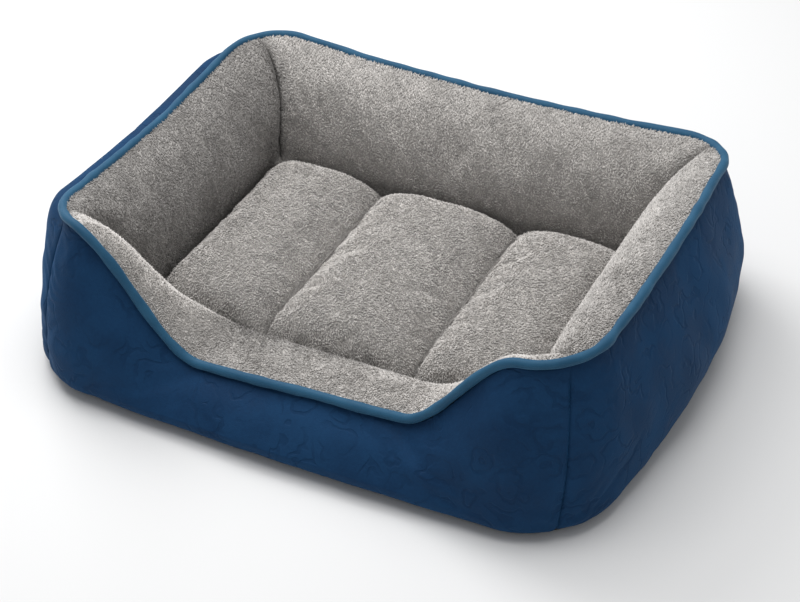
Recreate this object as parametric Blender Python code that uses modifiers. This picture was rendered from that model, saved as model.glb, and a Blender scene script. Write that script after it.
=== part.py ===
"""Pet cushion bed: stuffed walls round a well, a low entrance at the front, and a loose seat cushion.

Frame: metres, +Z up, +X along the long side, the entrance faces -Y, and the origin is on the floor under
the middle of the bed. The walls are one closed ring of upright sections. Every section runs between three
outlines in plan: the rim, where the piping lies; the belt, the widest line, low on the outside; and the
crease, where the lining meets the seat cushion.
"""
import math

import bpy
import numpy as np

# Rim: the piping's centre line
RIM_HALF_LENGTH = 0.273
RIM_HALF_DEPTH = 0.205
RIM_CORNER_RADII = {"front_left": 0.055, "front_right": 0.060, "back_right": 0.050, "back_left": 0.060}
RIM_HEIGHT = 0.174
RIM_BOW = {"front": 0.007, "right": 0.011, "back": 0.005, "left": 0.005}
RIM_SAG = {"front": 0.0, "right": -0.012, "back": 0.016, "left": 0.020}
RIM_END_SHARE = 0.5
RIM_FLANK_SHARE = 0.6

# Entrance: the low stretch of the front rim, between two ramps
ENTRANCE_HEIGHT = 0.0655
ENTRANCE_SLOPE = 0.070
ENTRANCE_LEFT = -0.170
ENTRANCE_RIGHT = 0.165
RAMP_LEFT_WIDTH = 0.136
RAMP_RIGHT_WIDTH = 0.110

# Belt: the widest line of the walls, above the rounding that meets the base
BELT_HALF_LENGTH = 0.2860
BELT_HALF_DEPTH = 0.2465
BELT_CORNER_RADIUS = 0.070
BELT_BOW = {"front": 0.0095, "right": 0.0310, "back": 0.0095, "left": 0.0310}
BELT_BULGE = 0.0105
BASE_ROUNDING = 0.018
BASE_MARGIN = 0.85

# Crease: the well's outline where the lining meets the seat cushion
CREASE_HALF_LENGTH = 0.208
CREASE_HALF_DEPTH = 0.136
CREASE_CORNER_RADIUS = 0.024
CREASE_HEIGHT = 0.051
CREASE_TILT = 0.004
LINING_PUFF = 0.007
LINING_FULLNESS = 0.91
LINING_PUFF_POWER = 0.5

# Cloths and piping
OUTER_CLOTH = 0.0015
LINING_CLOTH = 0.0024
BASE_CLOTH = 0.0030
FLOOR_CLOTH = 0.0012
PIPING_RADIUS = 0.0042
PIPING_WALL = 0.0012
PIPING_CORD_RADIUS = 0.0022
PIPING_SLIT = math.radians(28)
PIPING_SLIT_DIRECTION = math.radians(225)

# Seat cushion
CHANNEL_SEAM = 0.079
CHANNEL_SEAM_TOP = 0.052
CUSHION_CROWN = 0.079
CUSHION_EDGE = 0.030
CUSHION_CORNER_RADIUS = 0.026
CUSHION_UNDER_CLOTH = 0.0012
CHANNEL_BOW_POWER = 2.6
CHANNEL_ROUND_POWER = 0.62
CHANNEL_UNDER_POWER = 0.5
CHANNEL_CLOSING_POWER = 8
SEAM_THICKNESS = 0.0090
EDGE_SEAM = 0.0036
STITCH_RADIUS = 0.0005

# Clearances
GAP = 0.0003
SEAM_GAP = 0.0010
CUSHION_GAP = 0.0015
FILL_GAP = 0.0006
FILL_TOP_SHARE = 0.08
CREASE_SLACK = 1.45
CUSHION_FILL_GAP = 0.0012

# Grid counts
HALF_CORNER = math.radians(45)
ARC_STEPS = 3
STRAIGHT_STEPS = {"front": 14, "right": 6, "back": 8, "left": 6}
OUTER_FRACTIONS = np.array([0.0, 0.2, 0.42, 0.64, 0.84, 1.0])
ROUNDING_ANGLES = np.radians([30.0, 60.0, 90.0])
LINING_ANGLES = np.radians([0.0, 18.0, 36.0, 54.0, 70.0, 82.0, 90.0])
PIPING_SECTION_STEPS = 8
LOBE_STATIONS = np.array([-1.0, -0.9, -0.6, 0.0, 0.6, 0.9, 1.0])
CUSHION_ROWS = np.array([-1.0, -0.94, -0.8, -0.4, 0.0, 0.4, 0.8, 0.94, 1.0])

SIDES = ("front", "right", "back", "left")
PANEL_FLOOR = BASE_CLOTH + GAP
BELT_HEIGHT = PANEL_FLOOR + BASE_ROUNDING
CUSHION_FLOOR = PANEL_FLOOR + FLOOR_CLOTH + GAP

NAVY = (0.016, 0.052, 0.130)
STEEL_BLUE = (0.045, 0.150, 0.270)
PLUSH_GREY = (0.360, 0.340, 0.320)
FIBRE_WHITE = (0.800, 0.800, 0.780)
BASE_GREY = (0.060, 0.062, 0.066)


# Scene, collection and materials

def clear_scene():
    """Remove every object that the file already holds."""
    for item in list(bpy.data.objects):
        bpy.data.objects.remove(item, do_unlink=True)


def make_collection(name):
    """Return a new collection in the scene."""
    collection = bpy.data.collections.new(name)
    bpy.context.scene.collection.children.link(collection)
    return collection


def make_material(name, color, roughness):
    """Return a Principled material of one colour for a cloth, a fibre or a thread."""
    material = bpy.data.materials.new(name)
    material.use_nodes = True
    shader = material.node_tree.nodes["Principled BSDF"]
    shader.inputs["Base Color"].default_value = (*color, 1.0)
    shader.inputs["Roughness"].default_value = roughness
    shader.inputs["Metallic"].default_value = 0.0
    return material


def link_object(name, data, collection, material):
    """Return a new object that holds the given mesh or curve."""
    item = bpy.data.objects.new(name, data)
    data.materials.append(material)
    collection.objects.link(item)
    return item


# Outlines in plan, walked counter-clockwise from the front-left seam

def side_frame(side):
    """Return a side's outward direction and the direction of travel along it, in plan."""
    outward = {"front": (0, -1), "right": (1, 0), "back": (0, 1), "left": (-1, 0)}[side]
    along = (-outward[1], outward[0])
    return np.array(outward, float), np.array(along, float)


def side_corners(side):
    """Names of the corners where a side starts and ends, walked counter-clockwise."""
    return {"front": ("front_left", "front_right"), "right": ("front_right", "back_right"),
            "back": ("back_right", "back_left"), "left": ("back_left", "front_left")}[side]


def side_outline(side, half_length, half_depth, radii, bow):
    """Points and outward normals of one side of a rounded rectangle, from seam to seam at mid-corner.

    The straight stretch swells outwards by bow at its middle, falling off as one minus the square of the
    place along the whole side.
    """
    outward, along = side_frame(side)
    reach, run = (half_depth, half_length) if side in ("front", "back") else (half_length, half_depth)
    arc = HALF_CORNER * np.linspace(1.0, 0.0, ARC_STEPS + 1)[:-1]
    straight = np.linspace(-1.0, 1.0, STRAIGHT_STEPS[side] + 1)
    turn = np.concatenate([-arc, np.zeros(straight.size), arc[::-1]])
    middle = np.concatenate([-np.ones(ARC_STEPS), straight, np.ones(ARC_STEPS)])
    first, last = (radii[corner] for corner in side_corners(side))
    radius = np.where(middle < 0.0, first, last)
    low, high = first - run, run - last
    place = (low + high) / 2.0 + middle * (high - low) / 2.0 + radius * np.sin(turn)
    swell = bow * np.clip(1.0 - (place / run) ** 2, 0.0, 1.0)
    distance = reach - radius + radius * np.cos(turn) + swell
    points = place[:, None] * along + distance[:, None] * outward
    normals = np.sin(turn)[:, None] * along + np.cos(turn)[:, None] * outward
    return points, normals


def ring_outline(half_length, half_depth, radii, bows):
    """Points and normals of the whole closed outline; each side's last point is the next side's first."""
    pieces = [side_outline(side, half_length, half_depth, radii, bows[side]) for side in SIDES]
    points = np.concatenate([piece[0][:-1] for piece in pieces])
    normals = np.concatenate([piece[1][:-1] for piece in pieces])
    return points, normals


def ring_columns(side):
    """Indices into the ring of one side's columns, both seams included."""
    counts = [2 * ARC_STEPS + STRAIGHT_STEPS[name] for name in SIDES]
    start = sum(counts[:SIDES.index(side)])
    return np.arange(start, start + counts[SIDES.index(side)] + 1) % sum(counts)


def smooth_step(value):
    """Ease from 0 to 1 as value goes from 0 to 1."""
    value = np.clip(value, 0.0, 1.0)
    return value * value * (3.0 - 2.0 * value)


def rim_height(points):
    """Height of the piping's centre line: level, less each side's sag, and low along the entrance.

    A sag fades out towards the corners, over the share of the half size that belongs to its side.
    """
    x, y = points[:, 0], points[:, 1]
    across = np.clip(1.0 - (x / RIM_HALF_LENGTH) ** 2, 0.0, 1.0)
    deep = np.clip(1.0 - (y / RIM_HALF_DEPTH) ** 2, 0.0, 1.0)
    near_back = smooth_step((y / RIM_HALF_DEPTH - RIM_END_SHARE) / (1.0 - RIM_END_SHARE))
    near_front = smooth_step((-y / RIM_HALF_DEPTH - RIM_END_SHARE) / (1.0 - RIM_END_SHARE))
    near_right = smooth_step((x / RIM_HALF_LENGTH - RIM_FLANK_SHARE) / (1.0 - RIM_FLANK_SHARE))
    near_left = smooth_step((-x / RIM_HALF_LENGTH - RIM_FLANK_SHARE) / (1.0 - RIM_FLANK_SHARE))
    height = RIM_HEIGHT - RIM_SAG["back"] * across * near_back - RIM_SAG["front"] * across * near_front
    height = height - RIM_SAG["left"] * deep * near_left - RIM_SAG["right"] * deep * near_right
    ramp_up = smooth_step((x - ENTRANCE_LEFT) / RAMP_LEFT_WIDTH + 0.5)
    ramp_down = smooth_step((ENTRANCE_RIGHT - x) / RAMP_RIGHT_WIDTH + 0.5)
    low = ramp_up * ramp_down * near_front
    return height * (1.0 - low) + (ENTRANCE_HEIGHT + ENTRANCE_SLOPE * x) * low


def ring_tangents(loop):
    """Unit tangents of a closed loop of points."""
    step = np.roll(loop, -1, axis=0) - np.roll(loop, 1, axis=0)
    return step / np.linalg.norm(step, axis=1)[:, None]


def grid_normals(grid, closed):
    """Unit normals of a surface grid, with rows down the section and columns along the ring."""
    if closed:
        along = np.roll(grid, -1, axis=1) - np.roll(grid, 1, axis=1)
    else:
        along = np.gradient(grid, axis=1)
    down = np.gradient(grid, axis=0)
    normal = np.cross(down, along)
    return normal / np.linalg.norm(normal, axis=2)[:, :, None]


def belt_outline():
    """The widest line of the walls, in plan, with its outward normals."""
    radii = dict.fromkeys(RIM_CORNER_RADII, BELT_CORNER_RADIUS)
    return ring_outline(BELT_HALF_LENGTH, BELT_HALF_DEPTH, radii, BELT_BOW)


def crease_outline():
    """The well's outline at the crease, in plan, with its outward normals."""
    radii = dict.fromkeys(RIM_CORNER_RADII, CREASE_CORNER_RADIUS)
    return ring_outline(CREASE_HALF_LENGTH, CREASE_HALF_DEPTH, radii, dict.fromkeys(SIDES, 0.0))


# Wall surfaces: rows down the section, columns round the ring

def rim_loop():
    """The piping's centre line as a closed loop, with the horizontal outward normals."""
    points, normals = ring_outline(RIM_HALF_LENGTH, RIM_HALF_DEPTH, RIM_CORNER_RADII, RIM_BOW)
    loop = np.column_stack([points, rim_height(points)])
    return loop, np.column_stack([normals, np.zeros(len(normals))])


def outer_surface():
    """Outer face of the walls, from under the piping to the base.

    It leans from the rim out to the belt with a half-sine bulge in proportion to its height, then rounds
    under by a quarter circle.
    """
    rim, outward = rim_loop()
    belt, _ = belt_outline()
    slope = ring_tangents(rim)
    drop = (PIPING_RADIUS + 2 * GAP) / np.hypot(slope[:, 0], slope[:, 1])
    top = rim[:, 2] - drop
    bulge = BELT_BULGE * (top - BELT_HEIGHT) / (RIM_HEIGHT - BELT_HEIGHT)
    rows = []
    for part in OUTER_FRACTIONS:
        plan = rim[:, :2] * (1.0 - part) + belt * part
        plan = plan + outward[:, :2] * (bulge * math.sin(math.pi * part))[:, None]
        rows.append(np.column_stack([plan, top + (BELT_HEIGHT - top) * part]))
    for angle in ROUNDING_ANGLES:
        plan = belt - outward[:, :2] * BASE_ROUNDING * (1.0 - math.cos(angle))
        height = np.full(len(plan), BELT_HEIGHT - BASE_ROUNDING * math.sin(angle))
        rows.append(np.column_stack([plan, height]))
    return np.array(rows)


def lining_surface():
    """Inner face of the walls, from behind the piping over the roll to the crease, then down to the floor.

    Each section is a quarter of a superellipse between the rim and the crease, raised a little by its
    filling.
    """
    rim, outward = rim_loop()
    crease, _ = crease_outline()
    slope = ring_tangents(rim)
    start = rim[:, :2] - outward[:, :2] * (PIPING_RADIUS + 2 * GAP)
    low = CREASE_HEIGHT + CREASE_TILT * crease[:, 1] / CREASE_HALF_DEPTH
    rise = rim[:, 2] - (PIPING_RADIUS + GAP) * (1.0 / np.hypot(slope[:, 0], slope[:, 1]) - 1.0) - low
    rows = []
    for angle in LINING_ANGLES:
        inward = math.sin(angle) ** LINING_FULLNESS
        upward = max(math.cos(angle), 0.0) ** LINING_FULLNESS
        puff = LINING_PUFF * math.sin(angle) * upward ** LINING_PUFF_POWER
        plan = start * (1.0 - inward) + crease * inward
        rows.append(np.column_stack([plan, low + rise * upward + puff]))
    rows.append(np.column_stack([crease, np.full(len(crease), PANEL_FLOOR)]))
    return np.array(rows)


def seam_shift(grid, distance):
    """Move a side's two edge columns away from its seams, along the ring, by the given distance."""
    shifted = grid.copy()
    for edge, inner in ((0, 1), (-1, -2)):
        step = (grid[:, inner] - grid[:, edge]) * np.array([1.0, 1.0, 0.0])
        length = np.maximum(np.linalg.norm(step, axis=1), 1e-6)
        share = np.minimum(distance / length, 0.5)
        shifted[:, edge] = grid[:, edge] + (grid[:, inner] - grid[:, edge]) * share[:, None]
    return shifted


def grid_faces(rows, columns, closed_rows=False, closed_columns=False):
    """Quads of a grid of rows by columns, wound so that grid_normals points out of them."""
    last_row = rows if closed_rows else rows - 1
    last_column = columns if closed_columns else columns - 1
    faces = []
    for row in range(last_row):
        for column in range(last_column):
            below, beside = (row + 1) % rows, (column + 1) % columns
            faces.append((row * columns + column, below * columns + column,
                          below * columns + beside, row * columns + beside))
    return faces


def mesh_from(name, points, faces):
    """Return a mesh with the given points and faces."""
    mesh = bpy.data.meshes.new(name)
    mesh.from_pydata([tuple(point) for point in points], [], faces)
    mesh.update()
    mesh.validate()
    return mesh


def add_shell(name, grid, thickness, collection, material):
    """A cloth panel: an open surface grid, thickened inwards."""
    rows, columns = grid.shape[:2]
    mesh = mesh_from(name, grid.reshape(-1, 3), grid_faces(rows, columns))
    item = link_object(name, mesh, collection, material)
    solidify = item.modifiers.new("Thickness", "SOLIDIFY")
    solidify.thickness = thickness
    solidify.offset = -1.0
    return item


# Walls

def add_wall_side(side, collection, materials):
    """Outer panel, lining and filling of one side of the wall."""
    columns = ring_columns(side)
    outer, lining = outer_surface(), lining_surface()
    outer_panel = seam_shift(outer[:, columns], SEAM_GAP)
    lining_panel = seam_shift(lining[:, columns], SEAM_GAP)
    add_shell(f"outer_panel_{side}", outer_panel, OUTER_CLOTH, collection, materials["outer"])
    add_shell(f"lining_{side}", lining_panel[::-1], LINING_CLOTH, collection, materials["plush"])
    add_wall_fill(side, outer, lining, columns, collection, materials["fibre"])


def add_wall_fill(side, outer, lining, columns, collection, material):
    """Filling of one side: the space between both cloths, closed at the base and at both seams."""
    outer_in = outer - grid_normals(outer, True) * (OUTER_CLOTH + FILL_GAP)
    lining_in = lining + grid_normals(lining, True) * (LINING_CLOTH * CREASE_SLACK + FILL_GAP)
    outer_in[0] = outer_in[0] + (outer_in[1] - outer_in[0]) * FILL_TOP_SHARE
    outer_in[-1, :, 2] = PANEL_FLOOR + OUTER_CLOTH + FILL_GAP
    lining_in[-1, :, 2] = PANEL_FLOOR + OUTER_CLOTH + FILL_GAP
    section = np.concatenate([lining_in[::-1], outer_in])
    grid = seam_shift(section[:, columns], SEAM_GAP)
    rows, count = grid.shape[:2]
    points = list(grid.reshape(-1, 3))
    faces = grid_faces(rows, count, closed_rows=True)
    for column in (0, count - 1):
        centre = len(points)
        points.append(grid[:, column].mean(axis=0))
        for row in range(rows):
            below = ((row + 1) % rows) * count + column
            here = row * count + column
            faces.append((here, below, centre) if column else (below, here, centre))
    mesh = mesh_from(f"bolster_fill_{side}", points, faces)
    link_object(f"bolster_fill_{side}", mesh, collection, material)


# Piping

def piping_section(radius, wall):
    """The cover's cross-section: a ring with a slit, as angles and radii, walked once round."""
    start = PIPING_SLIT_DIRECTION + PIPING_SLIT
    angles = np.linspace(start, start + 2 * math.pi - 2 * PIPING_SLIT, PIPING_SECTION_STEPS)
    outer = [(angle, radius) for angle in angles]
    inner = [(angle, radius - wall) for angle in angles[::-1]]
    return outer + inner


def add_piping(collection, materials):
    """The bias strip round the top edge, and the filler cord inside it."""
    rim, outward = rim_loop()
    tangent = ring_tangents(rim)
    upward = np.cross(outward, tangent)
    upward = upward / np.linalg.norm(upward, axis=1)[:, None]
    rows = []
    for angle, radius in piping_section(PIPING_RADIUS, PIPING_WALL):
        rows.append(rim + radius * (math.cos(angle) * outward + math.sin(angle) * upward))
    grid = np.array(rows)[::-1]
    faces = grid_faces(grid.shape[0], grid.shape[1], closed_rows=True, closed_columns=True)
    cover = mesh_from("piping_cover", grid.reshape(-1, 3), faces)
    link_object("piping_cover", cover, collection, materials["piping"])
    add_thread("piping_cord", rim, PIPING_CORD_RADIUS, 1, True, collection, materials["fibre"])


def add_thread(name, points, radius, resolution, cyclic, collection, material):
    """A round cord or thread along a line of points."""
    curve = bpy.data.curves.new(name, "CURVE")
    curve.dimensions = "3D"
    curve.bevel_depth = radius
    curve.bevel_resolution = resolution
    curve.use_fill_caps = not cyclic
    spline = curve.splines.new("POLY")
    spline.points.add(len(points) - 1)
    for slot, point in zip(spline.points, points):
        slot.co = (*point, 1.0)
    spline.use_cyclic_u = cyclic
    return link_object(name, curve, collection, material)


# Base and floor of the well

def add_slab(name, outline, bottom, thickness, collection, material):
    """A flat cloth: one face of the given outline, thickened upwards."""
    points = np.column_stack([outline, np.full(len(outline), bottom + thickness)])
    mesh = mesh_from(name, points, [tuple(range(len(points)))])
    item = link_object(name, mesh, collection, material)
    solidify = item.modifiers.new("Thickness", "SOLIDIFY")
    solidify.thickness = thickness
    solidify.offset = -1.0
    return item


def add_base(collection, materials):
    """The non-slip base cloth under the walls, and the plain cloth that closes the well."""
    belt, outward = belt_outline()
    base = belt - outward * BASE_ROUNDING * BASE_MARGIN
    add_slab("base_cloth", base, 0.0, BASE_CLOTH, collection, materials["base"])
    crease, outward = crease_outline()
    floor = crease - outward * SEAM_GAP
    add_slab("floor_lining", floor, PANEL_FLOOR, FLOOR_CLOTH, collection, materials["fibre"])


# Seat cushion

def cushion_plan(x, row):
    """Depth coordinate of a cushion row at x: the outline is a rounded rectangle."""
    half_length = CREASE_HALF_LENGTH - CUSHION_GAP
    half_depth = CREASE_HALF_DEPTH - CUSHION_GAP
    past = np.clip(np.abs(x) - (half_length - CUSHION_CORNER_RADIUS), 0.0, CUSHION_CORNER_RADIUS)
    reach = half_depth - CUSHION_CORNER_RADIUS + np.sqrt(CUSHION_CORNER_RADIUS ** 2 - past ** 2)
    return reach * row


def lobe_edges():
    """The three channels: their limits in x, and the height of the top cloth at each limit."""
    edge = CREASE_HALF_LENGTH - CUSHION_GAP
    limits = [-edge, -CHANNEL_SEAM, CHANNEL_SEAM, edge]
    heights = [CUSHION_EDGE, CHANNEL_SEAM_TOP, CHANNEL_SEAM_TOP, CUSHION_EDGE]
    return limits, heights


def cushion_height(station, row, left, right, under):
    """Height of the cushion's top or under face at a channel station and a row, both from -1 to 1.

    Across a channel the cloth bows as a power curve between its two seams; towards the front and the back it
    closes in to the edge seam as a flattened ellipse.
    """
    bow = (1.0 - np.abs(station) ** CHANNEL_BOW_POWER) ** CHANNEL_ROUND_POWER
    close = np.sqrt(np.clip(1.0 - np.abs(row) ** CHANNEL_CLOSING_POWER, 0.0, 1.0))
    seam = left + (right - left) * (station + 1.0) / 2.0
    if under:
        lower_edge = CUSHION_EDGE - EDGE_SEAM
        seam = np.maximum(seam - SEAM_THICKNESS, lower_edge)
        drop = (CUSHION_FLOOR - seam) * bow ** CHANNEL_UNDER_POWER
        return lower_edge + (seam + drop - lower_edge) * close
    upper_edge = CUSHION_EDGE + EDGE_SEAM
    seam = np.maximum(seam, upper_edge)
    return upper_edge + (seam + (CUSHION_CROWN - seam) * bow - upper_edge) * close


def cushion_grid(stations, rows, lobe, under):
    """Points of one channel's top or under face."""
    limits, heights = lobe_edges()
    station, row = np.meshgrid(stations, rows)
    middle, half = (limits[lobe] + limits[lobe + 1]) / 2.0, (limits[lobe + 1] - limits[lobe]) / 2.0
    x = middle + half * station
    z = cushion_height(station, row, heights[lobe], heights[lobe + 1], under)
    return np.stack([x, cushion_plan(x, row), z], axis=2)


def add_cushion_cloths(collection, materials):
    """The plush top cloth and the plain under cloth, each in one piece over all three channels."""
    cloths = (("cushion_top", False, LINING_CLOTH, materials["plush"]),
              ("cushion_bottom", True, CUSHION_UNDER_CLOTH, materials["under"]))
    for name, under, thickness, material in cloths:
        lobes = [cushion_grid(LOBE_STATIONS, CUSHION_ROWS, lobe, under) for lobe in range(3)]
        grid = np.concatenate([lobes[0], lobes[1][:, 1:], lobes[2][:, 1:]], axis=1)
        add_shell(name, grid if under else grid[::-1], thickness, collection, material)


def add_cushion_fills(collection, materials):
    """The fibre of each channel: the space between the cloths, kept clear of the seams."""
    for lobe, name in enumerate(("left", "centre", "right")):
        top = cushion_grid(LOBE_STATIONS, CUSHION_ROWS, lobe, False)
        under = cushion_grid(LOBE_STATIONS, CUSHION_ROWS, lobe, True)
        top = top + grid_normals(top, False) * (LINING_CLOTH + CUSHION_FILL_GAP)
        under = under - grid_normals(under, False) * (CUSHION_UNDER_CLOTH + CUSHION_FILL_GAP)
        top, under = top[1:-1, 1:-1], under[1:-1, 1:-1]
        count_rows, count = top.shape[:2]
        points = np.concatenate([under.reshape(-1, 3), top.reshape(-1, 3)])
        shift = count_rows * count
        lower = grid_faces(count_rows, count)
        upper = [tuple(index + shift for index in face[::-1]) for face in lower]
        rim = list(range(count))
        rim += [row * count + count - 1 for row in range(1, count_rows)]
        rim += [(count_rows - 1) * count + column for column in range(count - 2, -1, -1)]
        rim += [row * count for row in range(count_rows - 2, 0, -1)]
        sides = [(a, b, b + shift, a + shift) for a, b in zip(rim, rim[1:] + rim[:1])]
        mesh = mesh_from(f"cushion_fill_{name}", points, lower + upper + sides)
        link_object(f"cushion_fill_{name}", mesh, collection, materials["fibre"])


def add_channel_stitches(collection, materials):
    """The thread row along each channel seam, lying in the valley between the two channels.

    In a valley of slope m a thread clears both sides when it lies its radius times the root of 1 + m squared
    above the bottom.
    """
    for name, lobe in (("left", 0), ("right", 1)):
        rows = CUSHION_ROWS[2:-2]
        before = cushion_grid(LOBE_STATIONS[-2:], rows, lobe, False)
        after = cushion_grid(LOBE_STATIONS[:2], rows, lobe + 1, False)[:, ::-1]
        slopes = [np.abs((side[:, 0, 2] - side[:, 1, 2]) / (side[:, 0, 0] - side[:, 1, 0])).max()
                  for side in (before, after)]
        line = before[:, 1].copy()
        line[:, 2] += STITCH_RADIUS * math.hypot(1.0, max(slopes)) + GAP
        add_thread(f"channel_stitch_{name}", line, STITCH_RADIUS, 1, False, collection, materials["thread"])


def build():
    """Build every piece of the bed."""
    clear_scene()
    collection = make_collection("pet_cushion_bed")
    materials = {
        "outer": make_material("outer_velvet", NAVY, 0.75),
        "plush": make_material("lining_plush", PLUSH_GREY, 0.95),
        "piping": make_material("piping_cloth", STEEL_BLUE, 0.65),
        "fibre": make_material("polyester_fibre", FIBRE_WHITE, 0.95),
        "base": make_material("non_slip_cloth", BASE_GREY, 0.85),
        "under": make_material("cushion_under_cloth", NAVY, 0.85),
        "thread": make_material("sewing_thread", PLUSH_GREY, 0.70),
    }
    for side in SIDES:
        add_wall_side(side, collection, materials)
    add_piping(collection, materials)
    add_base(collection, materials)
    add_cushion_cloths(collection, materials)
    add_cushion_fills(collection, materials)
    add_channel_stitches(collection, materials)


build()
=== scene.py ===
"""Looks of the pet cushion bed: velvet casing, round piping, plush lining with its pile, seat cushion.

Everything is in metres in the model's own frame: +Z up, +X along the long side, the entrance faces -Y. Each
sewn shell is a grid of points worked out from a formula, blown up by a cloth simulation with its seams held,
and then refined; the pile is one small curved tuft repeated over the plush.
"""

import logging
import math
from dataclasses import dataclass, field
from enum import Enum

import bpy
import numpy as np
from mathutils import Matrix, Vector


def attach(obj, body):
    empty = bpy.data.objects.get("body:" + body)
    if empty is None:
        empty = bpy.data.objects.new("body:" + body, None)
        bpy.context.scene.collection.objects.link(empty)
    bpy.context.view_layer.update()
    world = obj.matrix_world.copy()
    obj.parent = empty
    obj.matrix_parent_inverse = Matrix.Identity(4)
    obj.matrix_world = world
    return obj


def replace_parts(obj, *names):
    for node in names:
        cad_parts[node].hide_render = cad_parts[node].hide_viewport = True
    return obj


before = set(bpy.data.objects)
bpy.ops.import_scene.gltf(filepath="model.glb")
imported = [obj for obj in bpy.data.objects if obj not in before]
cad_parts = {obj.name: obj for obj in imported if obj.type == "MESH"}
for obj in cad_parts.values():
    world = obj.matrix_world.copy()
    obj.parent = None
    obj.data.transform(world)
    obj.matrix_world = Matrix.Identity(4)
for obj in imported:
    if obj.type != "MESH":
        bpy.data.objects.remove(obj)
log = logging.getLogger("pet_cushion_bed")

GAP = 0.0003
PIPING_RADIUS = 0.0042
PANEL_FLOOR = 0.0033


# Small tools for grids of points


def smooth_step(value: np.ndarray) -> np.ndarray:
    """Ease from 0 to 1 as value goes from 0 to 1: three times its square less twice its cube."""
    value = np.clip(value, 0.0, 1.0)
    return value * value * (3.0 - 2.0 * value)


def unit(vectors: np.ndarray) -> np.ndarray:
    """Return the vectors along the last axis divided by their lengths."""
    return vectors / np.maximum(np.linalg.norm(vectors, axis=-1, keepdims=True), 1e-12)


def refine(values: np.ndarray, factor: int, axis: int) -> np.ndarray:
    """Put factor steps in place of each step along one axis.

    Every new value lies on the Catmull-Rom cubic through its four nearest old values; past either end the old
    values carry on in a straight line.

    Args:
        values: samples on a grid, of any further dimensions.
        factor: how many steps replace one.
        axis: the axis to refine.

    Returns:
        The refined samples, (n - 1) * factor + 1 long on that axis.
    """
    rows = np.moveaxis(np.asarray(values, float), axis, 0)
    padded = np.concatenate([2.0 * rows[:1] - rows[1:2], rows, 2.0 * rows[-1:] - rows[-2:-1]])
    place = np.arange((len(rows) - 1) * factor + 1) / factor
    start = np.minimum(place.astype(int), len(rows) - 2)
    t = (place - start).reshape((-1,) + (1,) * (rows.ndim - 1))
    a, b, c, d = (padded[start + shift] for shift in range(4))
    cubic = b + 0.5 * t * (c - a + t * (2.0 * a - 5.0 * b + 4.0 * c - d + t * (3.0 * (b - c) + d - a)))
    return np.moveaxis(cubic, 0, axis)


def refine_straight(values: np.ndarray, factor: int) -> np.ndarray:
    """Put factor equal steps in place of each step of a list of numbers."""
    place = np.arange((len(values) - 1) * factor + 1) / factor
    return np.interp(place, np.arange(len(values)), values)


def grid_normals(grid: np.ndarray) -> np.ndarray:
    """Unit normals of a grid of points: the cross product of the step down the rows and along the columns."""
    return unit(np.cross(np.gradient(grid, axis=0), np.gradient(grid, axis=1)))


@dataclass(frozen=True)
class Ripple:
    """A smooth random field: a sum of plane waves with seeded directions, lengths and phases."""

    seed: int
    wavelength: float
    waves: int = 12

    def at(self, points: np.ndarray) -> np.ndarray:
        """Evaluate the field, about -1 to 1, at the given points.

        Args:
            points: places in metres, the last axis holding x, y and z.

        Returns:
            One value for each place.
        """
        random = np.random.default_rng(self.seed)
        direction = unit(random.normal(size=(self.waves, 3)))
        length = self.wavelength * random.uniform(0.7, 1.5, self.waves)
        phase = random.uniform(0.0, 2.0 * math.pi, self.waves)
        turns = points @ (direction / length[:, None]).T * 2.0 * math.pi + phase
        return np.sin(turns).sum(axis=-1) / math.sqrt(self.waves)


# Meshes from grids


def grid_quads(rows: int, columns: int, closed_rows: bool = False,
               closed_columns: bool = False) -> np.ndarray:
    """Quads of a grid, wound so that grid_normals points out of them.

    Args:
        rows: how many rows of points.
        columns: how many points in a row.
        closed_rows: the last row joins the first.
        closed_columns: each row's last point joins its first.

    Returns:
        An array of point numbers, one quad in each row.
    """
    row = np.arange(rows if closed_rows else rows - 1)[:, None]
    column = np.arange(columns if closed_columns else columns - 1)[None, :]
    below, beside = (row + 1) % rows, (column + 1) % columns
    corners = [row * columns + column, below * columns + column, below * columns + beside,
               row * columns + beside]
    spread = [np.broadcast_to(part, (row.size, column.size)) for part in corners]
    return np.stack(spread, axis=-1).reshape(-1, 4)


def new_mesh(name: str, points: np.ndarray, faces: np.ndarray, uv: np.ndarray | None = None,
             uv_name: str = "OFBake") -> bpy.types.Mesh:
    """Make a mesh from whole arrays.

    Args:
        name: the mesh's name.
        points: places of the vertices.
        faces: vertex numbers, one face of equal length in each row.
        uv: an optional place on the map for each vertex.
        uv_name: the name of that map.

    Returns:
        The new mesh, shaded smooth.
    """
    mesh = bpy.data.meshes.new(name)
    size = faces.shape[1]
    mesh.vertices.add(len(points))
    mesh.vertices.foreach_set("co", np.ascontiguousarray(points, np.float32).ravel())
    mesh.loops.add(faces.size)
    mesh.loops.foreach_set("vertex_index", np.ascontiguousarray(faces, np.int32).ravel())
    mesh.polygons.add(len(faces))
    mesh.polygons.foreach_set("loop_start", np.arange(0, faces.size, size, dtype=np.int32))
    mesh.polygons.foreach_set("use_smooth", np.ones(len(faces), bool))
    if uv is not None:
        layer = mesh.uv_layers.new(name=uv_name)
        layer.data.foreach_set("uv", np.ascontiguousarray(uv[faces.ravel()], np.float32).ravel())
    mesh.update(calc_edges=True)
    return mesh


def new_piece(name: str, mesh: bpy.types.Mesh, material: bpy.types.Material, body: str) -> bpy.types.Object:
    """Put a mesh into the scene as a finished piece.

    Args:
        name: the piece's name.
        mesh: its mesh, already in place.
        material: its finish.
        body: the body it rides on.

    Returns:
        The new object.
    """
    piece = bpy.data.objects.new(name, mesh)
    mesh.materials.append(material)
    bpy.context.scene.collection.objects.link(piece)
    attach(piece, body)
    return piece


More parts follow.
